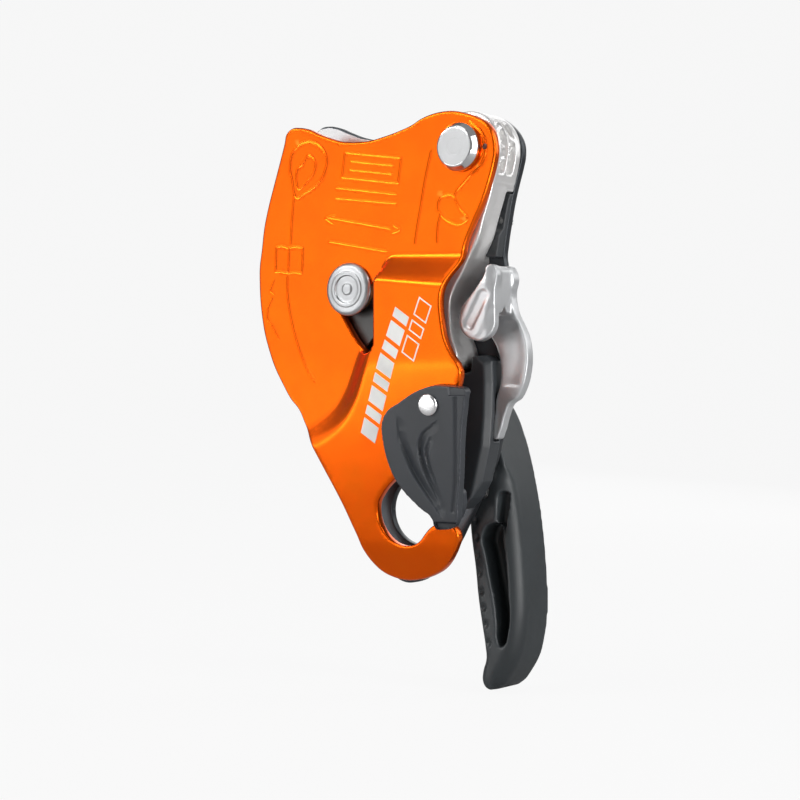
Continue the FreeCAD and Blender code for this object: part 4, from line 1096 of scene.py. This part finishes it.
put(cast_copy("edge_guard", "edge_guard_moulded", voxel=0.26, passes=3, shape=guard_shape,
              second=(0.24, 3)),
    "grey_plastic", "frame", "edge_guard")

# ------------------------------------------------------------------ gate
# Moulded crescents: width, depth, x and z down the sharp edge
CRESCENTS = [
    (4.2, 1.35, [(6.41, 26.9), (6.4, 23.16), (7.8, 18.51), (10.54, 12.32), (14.76, 6.19),
                 (18.37, 1.63)]),
    (3.2, 1.3, [(19.11, 27.93), (15.19, 25.43), (13.34, 21.7), (13.3, 17.66), (15.0, 12.42),
                (17.44, 7.2), (19.53, 2.29)]),
    (2.2, 1.0, [(17.56, 23.29), (15.77, 20.18), (15.78, 16.47), (17.13, 11.53), (18.82, 6.3)])]
GATE_LINE = [(28.6, 36.0), (27.6, 24.0), (26.2, 10.0), (24.4, 1.5)]


def gate_shape(points, normals):
    x, _, z = points.T.copy()
    plan = np.stack([x, z], 1)
    sink = np.zeros(len(points))
    for width, depth, line in CRESCENTS:
        distance, along = trace(plan, curve(line, 0.8))
        ends = np.sin(np.pi * np.clip(along, 0.03, 0.97)) ** 0.6
        section = np.clip(distance / 0.5, 0, 1) * (1 - ease(distance / width))
        sink = np.maximum(sink, np.where(distance >= 0, section, 0.0) * ends * depth)
    # groove down the right side, lower edge, top right corner
    sink = np.maximum(sink, 0.45 * np.exp(-(distance_to(plan, GATE_LINE) / 0.45) ** 2))
    sink = np.maximum(sink, 1.5 * ease((-1.9 - z) / 0.5))
    sink = np.maximum(sink, 0.5 * ((x > 26.6) & (z > 37.0)))
    # only front faces sink, and not around the pin
    faced = np.clip((-normals[:, 1] - 0.6) * 4, 0, 1)
    clear = ease((np.hypot(x - GATE_PIN[0], z - GATE_PIN[1]) - 3.9) / 0.8)
    points[:, 1] += sink * faced * clear
    return points


put(cast_copy("gate", "gate_moulded", voxel=0.26, passes=5, shape=gate_shape),
    "grey_nylon", "gate_latch", "gate")

# ------------------------------------------------------------------ handle, x and z
HANDLE_DOTS = [(17.6, 3.5), (17.2, -2.8), (17.5, -8.5), (17.9, -13.7), (18.4, -19.5),
               (19.2, -25.3), (19.9, -30.5), (20.8, -35.7), (21.7, -41.5)]
HANDLE_LOOP = biarcs([
    (15.9, 40.0), (9.6, 43.0), (4.4, 39.6), (4.0, 33.0), (8.4, 24.6), (12.2, 12.0), (14.6, 0.0),
    (15.6, -9.0), (16.9, -17.4), (18.1, -27.9), (19.7, -37.4), (20.6, -42.6), (21.0, -46.8),
    (19.8, -51.0), (19.6, -53.8), (20.8, -56.2), (23.0, -56.9), (25.4, -55.6), (28.9, -51.6),
    (32.0, -46.0), (33.6, -40.0), (34.5, -33.0), (34.6, -27.0), (34.2, -19.8), (33.3, -9.2),
    (31.8, 1.4), (29.6, 12.1), (27.0, 21.6), (22.6, 32.0)], 1.0)


def handle_round(points, normals):
    """Generous round along the right front edge, small one on the left, and a slot."""
    x, y, z = points.T.copy()
    facing = normals[:, 1]
    plan = np.stack([x, z], 1)
    rim = distance_to(plan, HANDLE_LOOP, True)
    middle = np.interp(-z, [-40, -12, 9, 28, 42, 57], [14, 21, 24, 26, 27, 23])
    radius = np.where(x > middle, 5.2, 2.6)
    depth = np.clip(radius - rim, 0, radius)
    limit = 3.5 + radius - np.sqrt(np.maximum(radius * radius - depth * depth, 0))
    hit = (y < limit) & (facing < 0.3) & ((facing < -0.3) | (rim < 0.8))
    points[:, 1] = np.where(hit, y + (limit - y) * ease((16 - z) / 8), y)
    slot = distance_to(plan, [(27.0, -6.5), (27.6, 0.0), (27.9, 5.0)])
    faced = np.clip((-facing - 0.5) * 4, 0, 1) * (y < 6)
    points[:, 1] += faced * 4.2 * (1 - ease((slot - 1.1) / 0.8))
    return points


def handle_dots(points, normals):
    """Column of dimples down the front."""
    x, y, z = points.T.copy()
    faced = np.clip((-normals[:, 1] - 0.3) * 3, 0, 1) * (y < 8)
    for dot_x, dot_z in HANDLE_DOTS:
        distance = np.hypot(x - dot_x - 0.9, (z - dot_z) * 0.8)
        points[:, 1] += faced * 0.9 * (1 - ease(distance / 1.5))
    return points


handle = cast_copy("handle", "handle_moulded", voxel=0.5, passes=4, shape=handle_round,
                   second=(0.42, 8))
sculpt(handle, handle_dots)
put(handle, "grey_nylon", "lever", "handle")

# ------------------------------------------------------------------ turned pins, radius and y
PIVOT_PROFILE = [
    (0, -22.57), (2.0, -22.58), (4.9, -22.6), (5.5, -22.6), (5.85, -22.57), (6.15, -22.47),
    (6.38, -22.28), (6.5, -22.08), (6.75, -21.7), (7.2, -21.0), (7.42, -20.65), (7.5, -20.4),
    (7.5, -19.3), (7.4, -19.05), (7.0, -18.7), (6.8, -18.65), (4.0, -18.65), (4.0, 1.5),
    (6.2, 1.5), (6.25, 1.8), (6.1, 2.2), (5.6, 2.75), (4.9, 3.05), (0, 3.1)]
AXLE_PROFILE = [
    (0, -20.5), (1.45, -20.5), (1.6, -20.46), (1.95, -20.14), (2.1, -20.1), (4.1, -20.1),
    (4.25, -20.16), (4.5, -20.62), (4.65, -20.7), (5.45, -20.7), (5.62, -20.66), (5.8, -20.5),
    (5.95, -20.45), (6.9, -20.42), (7.2, -20.38), (7.7, -20.2), (8.1, -19.9), (8.38, -19.55),
    (8.5, -19.25), (8.48, -18.95), (8.3, -18.7), (5.25, -18.6), (5.2, -18.5), (5.2, -1.5),
    (4.0, -1.5), (4.0, 11.5), (3.85, 11.8), (3.6, 12.0), (0, 12.0)]
GATE_PIN_PROFILE = [
    (0, -4.33), (1.5, -4.33), (2.6, -4.31), (2.95, -4.26), (3.2, -4.1), (3.4, -3.85),
    (3.5, -3.5), (3.5, -3.32), (2.0, -3.3), (2.0, 3.02), (3.4, 3.02), (3.35, 3.3), (3.1, 3.6),
    (2.7, 3.7), (0, 3.7)]
GATE_PIN_Y = float(raised(np.array([GATE_PIN[1]]))[0])


def on_gate_axis(points):
    """Moves points from the Y axis to the leaning gate pin."""
    x, y, z = points.T
    cosine, sine = math.cos(GATE_TILT), math.sin(GATE_TILT)
    return np.stack([x + GATE_PIN[0], y * cosine - z * sine + GATE_PIN_Y,
                     y * sine + z * cosine + GATE_PIN[1]], 1)


put(lathe("pivot_pin_turned", PIVOT_PROFILE, on_axis(PIVOT), [PIVOT_FACE, POLISHED], 128,
          split=4),
    "polished_steel", "frame", "main_pivot_pin")
put(lathe("cam_axle_turned", AXLE_PROFILE, on_axis(AXLE), [TURNED], 128),
    "stainless", "frame", "cam_axle")
put(lathe("gate_pin_turned", GATE_PIN_PROFILE, on_gate_axis, [GATE_STEEL], 64),
    "polished_steel", "front_plate", "gate_pin")

# ------------------------------------------------------------------ lever arm, nut and washers
ARM_OUTLINE = [polar(AXLE, 18.6, math.radians(angle)) for angle in range(-30, 262, 12)] + [
    (-9.0, 47.0), (-2.0, 38.0), (6.0, 30.0), (12.0, 18.0), (15.2, 8.6), (17.2, 3.0),
    (20.4, 0.8), (23.6, 3.0), (24.6, 8.6), (22.6, 22.0), (16.0, 38.0), (8.0, 50.0)]
arm_holes = [circle(*AXLE, 5.4, 64), kidney(103, 192), circle(13.6, 26.0, 2.0, 24),
             circle(20.4, 6.6, 2.0, 24)]
put(slab("lever_arm_plate", biarcs(ARM_OUTLINE, 0.6), arm_holes, flat(4.2), flat(7.2), BRUSHED,
         front_round=0.3, back_round=0.45, grid=5.0, step=0.7, angle=40),
    "stainless", "lever", "lever_arm")

WASHER_BACK = 8.35                # the nut sits on the axle washer
hexagon = np.array([polar(AXLE, 6.4, math.radians(30 + 60 * k)) for k in range(6)])
put(slab("axle_nut_hex", hexagon, [circle(*AXLE, 4.0, 48)], flat(WASHER_BACK), flat(11.4),
         BRUSHED, front_round=0.2, back_round=0.55, grid=3.0, step=0.8, angle=30),
    "stainless", "frame", "axle_nut")
put(slab("axle_washer_ring", circle(*AXLE, 7.0, 96), [circle(*AXLE, 4.05, 48)], flat(7.35),
         flat(WASHER_BACK), BRUSHED, front_round=0.12, back_round=0.2, grid=3.0, step=0.5,
         angle=30),
    "stainless", "frame", "axle_washer")
put(slab("pivot_washer_ring", circle(*PIVOT, 9.0, 96), [circle(*PIVOT, 4.06, 48)], flat(-15.3),
         flat(-14.9), BRONZE, front_round=0.1, back_round=0.05, grid=3.0, step=0.5, angle=30),
    "bronze", "frame", "pivot_washer")

for node_name, rows in FASTENERS.items():
    fasteners(node_name, rows)

# ------------------------------------------------------------------ torsion springs


def wire(name, path, radius, sides=14):
    """Round wire along a path, capped at both ends."""
    tangents = np.gradient(path, axis=0)
    tangents /= np.linalg.norm(tangents, axis=1)[:, None]
    normal = np.cross(tangents[0], [0.3, 0.1, 0.9])
    normal /= np.linalg.norm(normal)
    points, faces = [], []
    for centre, tangent in zip(path, tangents):
        normal = normal - tangent * (normal @ tangent)
        normal /= np.linalg.norm(normal)
        other = np.cross(tangent, normal)
        for k in range(sides):
            angle = 2 * math.pi * k / sides
            points.append(centre + radius * (normal * math.cos(angle) + other * math.sin(angle)))
    last = (len(path) - 1) * sides
    for low in range(0, last, sides):
        for k in range(sides):
            j = (k + 1) % sides
            faces.append((low + k, low + j, low + sides + j, low + sides + k))
    faces.append(tuple(range(sides)))
    faces.append(tuple(last + k for k in range(sides))[::-1])
    return new_piece(name, points, faces, [SPRING], 45)


def spring_path(radius, bend, start, pitch, turns, start_y, first_leg, last_leg):
    """Coil about Y with a bent leg at each end: the first turns to +Y, the last to -Y."""
    count = int(turns * 72)
    coil = []
    for i in range(count + 1):
        angle = math.radians(start + 360.0 * turns * i / count)
        y = start_y - pitch * turns * i / count
        coil.append(np.array([radius * math.cos(angle), y, radius * math.sin(angle)]))

    def leg(point, direction, side, length):
        tangent = np.array([direction[0], 0.0, direction[2]])
        tangent /= np.linalg.norm(tangent)
        away = np.array([0.0, side, 0.0])
        turn = [point + tangent * (bend * math.sin(angle)) + away * (bend * (1 - math.cos(angle)))
                for angle in np.linspace(0, math.pi / 2, 9)[1:]]
        return turn + [turn[-1] + away * length * k / 4 for k in range(1, 5)]

    first = leg(coil[0], coil[0] - coil[1], 1.0, first_leg)
    last = leg(coil[-1], coil[-1] - coil[-2], -1.0, last_leg)
    return np.array(first[::-1] + coil + last)


cam_path = spring_path(**CAM_COIL, pitch=1.2, turns=0.86, start_y=-3.5, first_leg=3.0,
                       last_leg=1.3)
cam_spring = wire("cam_spring_wire", on_axis(AXLE)(cam_path), 0.5)
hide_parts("cam_spring")
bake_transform(cam_spring)

# The last leg is cut short of the rear plate, so the wire stays clear as the lever turns
lever_path = spring_path(**LEVER_COIL, pitch=0.7, turns=0.84, start_y=3.2, first_leg=1.6,
                         last_leg=0.02)[:-3]
put(wire("lever_spring_wire", on_axis(AXLE)(lever_path), 0.5),
    "spring_steel", "lever", "lever_spring")

gate_path = spring_path(radius=4.4, bend=0.8, start=170.0, pitch=0.5, turns=0.9, start_y=-1.0,
                        first_leg=1.6, last_leg=0.75)
gate_spring = wire("gate_spring_wire", on_gate_axis(gate_path), 0.35)
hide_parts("gate_spring")
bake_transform(gate_spring)

# ------------------------------------------------------------------ cam
# Rim: angle in degrees about the axle, radius
CAM_RIM = [(-60, 16.5), (-30, 14.8), (0, 14.6), (12, 14.9), (24, 16.4), (36, 19.6), (48, 23.4),
           (60, 25.6), (75, 26.0), (90, 25.2), (120, 23.0), (150, 21.6), (180, 21.4),
           (210, 21.6), (240, 21.2), (270, 19.8), (300, 16.5)]


def cam_radius(angle):
    for (start, low), (end, high) in zip(CAM_RIM, CAM_RIM[1:]):
        if angle <= end:
            t = (angle - start) / (end - start)
            return low + (high - low) * t * t * (3 - 2 * t)


CAM_LOOP = biarcs([polar(AXLE, cam_radius(angle), math.radians(angle))
                   for angle in range(-60, 300, 8)], 0.5)


def cam_round(points, normals, bins=240):
    """Puts the rim on its true curve, measured against the widest point in each bin."""
    circuit = 2 * math.pi
    x, z = points[:, 0] - AXLE[0], points[:, 2] - AXLE[1]
    radius, angle = np.hypot(x, z), np.arctan2(z, x)
    loop_x, loop_z = CAM_LOOP[:, 0] - AXLE[0], CAM_LOOP[:, 1] - AXLE[1]
    loop_angle, loop_radius = np.arctan2(loop_z, loop_x), np.hypot(loop_x, loop_z)
    order = np.argsort(loop_angle)
    wanted = np.interp(angle, loop_angle[order], loop_radius[order], period=circuit)
    widest = np.zeros(bins)
    np.maximum.at(widest, ((angle + math.pi) / circuit * bins).astype(int) % bins, radius)
    middles = (np.arange(bins) + 0.5) / bins * 2 * math.pi - math.pi
    present = np.interp(angle, middles, widest, period=circuit)
    factor = 1 + (np.minimum(wanted / present, 1.04) - 1) * ease((radius - 11.5) / 2.0)
    points[:, 0], points[:, 2] = AXLE[0] + x * factor, AXLE[1] + z * factor
    return points


put(cast_copy("cam", "cam_ground", voxel=0.36, passes=3, shape=cam_round),
    "stainless_cast", "brake_cam", "cam")

# ------------------------------------------------------------------ camera
scene = bpy.context.scene


def look(thing, place, target):
    """Places a camera or light and turns it to the target."""
    thing.location = place
    thing.rotation_euler = (target - place).to_track_quat("-Z", "Y").to_euler()


lens = bpy.data.cameras.new("camera")
lens.lens = 87.2
lens.sensor_width = 36.0
lens.clip_start = 0.05
scene.camera = add_object("camera", lens)
camera_place = Vector((343.8, -522.5, 35.6)) * MM
camera_aim = Vector((-2.9, -8.5, 35.6)) * MM
look(scene.camera, camera_place, camera_aim)

# ------------------------------------------------------------------ floor and sweep, metres


def floor_material():
    """Matt grey that looks almost white to the camera."""
    mat = Material("studio_floor")
    mat.bump(mat.noise(scale=60, detail=3), strength=0.02, distance=0.0002)
    greys = [(0.3, (0.46, 0.46, 0.465)), (0.7, (0.50, 0.50, 0.505))]
    mat.finish(mat.ramp(mat.noise(scale=4, detail=2), greys), rough=0.8)
    seen = mat.node("ShaderNodeLightPath", output="Is Camera Ray")
    share = mat.node("ShaderNodeMath", {0: seen, 1: 0.91}, operation="MULTIPLY")
    glow = mat.node("ShaderNodeEmission", {"Color": (1.0, 1.0, 1.0)})
    surface = mat.node("ShaderNodeMixShader", {0: share, 1: mat.shader.outputs[0], 2: glow})
    mat.plug(mat.tree.nodes["Material Output"].inputs["Surface"], surface)
    return mat.material


FLOOR_Z = -0.0580
SWEEP_START, SWEEP_RADIUS = 0.9, 0.7
FLOOR_HALF_WIDTH = 2.6
# distance away from the camera, z
floor_profile = [(-1.4, FLOOR_Z), (SWEEP_START, FLOOR_Z)]
for degrees in range(8, 91, 8):
    angle = math.radians(degrees)
    floor_profile.append((SWEEP_START + SWEEP_RADIUS * math.sin(angle),
                          FLOOR_Z + SWEEP_RADIUS - SWEEP_RADIUS * math.cos(angle)))
floor_profile.append((SWEEP_START + SWEEP_RADIUS, 3.2))
away = (camera_aim - camera_place).normalized()
floor_points = [(away.x * run - away.y * side, away.y * run + away.x * side, z)
                for run, z in floor_profile for side in (-FLOOR_HALF_WIDTH, FLOOR_HALF_WIDTH)]
floor_faces = [(i, i + 2, i + 3, i + 1) for i in range(0, len(floor_points) - 2, 2)]
floor_look = floor_material()
floor_mesh = bpy.data.meshes.new("studio_floor")
floor_mesh.from_pydata(floor_points, [], floor_faces)
floor_mesh.polygons.foreach_set("use_smooth", [True] * len(floor_faces))
floor_mesh.materials.append(floor_look)
add_object("studio_floor", floor_mesh)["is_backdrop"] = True

# ------------------------------------------------------------------ world
world = bpy.data.worlds.new("studio")
scene.world = world
world.use_nodes = True
sky = Nodes(world.node_tree)
background = sky.tree.nodes["Background"]
height = sky.axes(sky.node("ShaderNodeTexCoord", output="Generated"))["Z"]
sky_colour = sky.ramp(sky.remap(height, low=-1.0, high=1.0, side="From"),
                      [(0.0, (0.45, 0.45, 0.46)), (0.75, (1, 1, 1))])
sky.plug(background.inputs["Strength"], 0.27)
sky.plug(background.inputs["Color"], sky_colour)
backdrop = sky.node("ShaderNodeBackground", {"Color": (0.93, 0.93, 0.935)})
camera_ray = sky.node("ShaderNodeLightPath", output="Is Camera Ray")
sky_surface = sky.node("ShaderNodeMixShader",
                       {0: camera_ray, 1: background.outputs[0], 2: backdrop})
sky.plug(sky.tree.nodes["World Output"].inputs["Surface"], sky_surface)

# ------------------------------------------------------------------ lights
MIDDLE = (0, -0.01, 0.035)
# name, place and target in metres, width, height, power in watts
LIGHTS = [
    ("left_front", (-0.62, -0.95, 0.08), MIDDLE, 0.9, 0.5, 1.75),
    ("bend_strip", (-0.50, -0.74, 0.52), MIDDLE, 0.8, 0.08, 3.4),
    ("low_left", (-0.24, -0.36, -0.035), (0, -0.02, 0.0), 0.34, 0.04, 0.20),
    ("key_top", (-0.15, -0.45, 0.85), MIDDLE, 0.5, 0.5, 0.9),
    ("right_strip", (0.80, -0.10, 0.30), MIDDLE, 0.16, 0.8, 3.2),
    ("low_right", (0.42, -0.16, -0.03), (0.02, -0.01, 0.06), 0.3, 0.06, 0.60),
    ("back_right", (0.55, 0.65, 0.45), MIDDLE, 0.3, 0.6, 1.4),
    ("back_fill", (-0.25, 0.95, 0.35), MIDDLE, 0.7, 0.7, 2.6),
]
for name, place, target, width, height, power in LIGHTS:
    light = bpy.data.lights.new(name, "AREA")
    light.energy = power
    light.shape = "RECTANGLE"
    light.size = width
    light.size_y = height
    look(add_object(name, light), Vector(place), Vector(target))
scene.view_settings.view_transform = "Standard"
scene.view_settings.look = "None"

boxes = {"cad": CAD_BOX, "visual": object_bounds()}
boxes = {key: [[float(v) for v in corner] for corner in box] for key, box in boxes.items()}
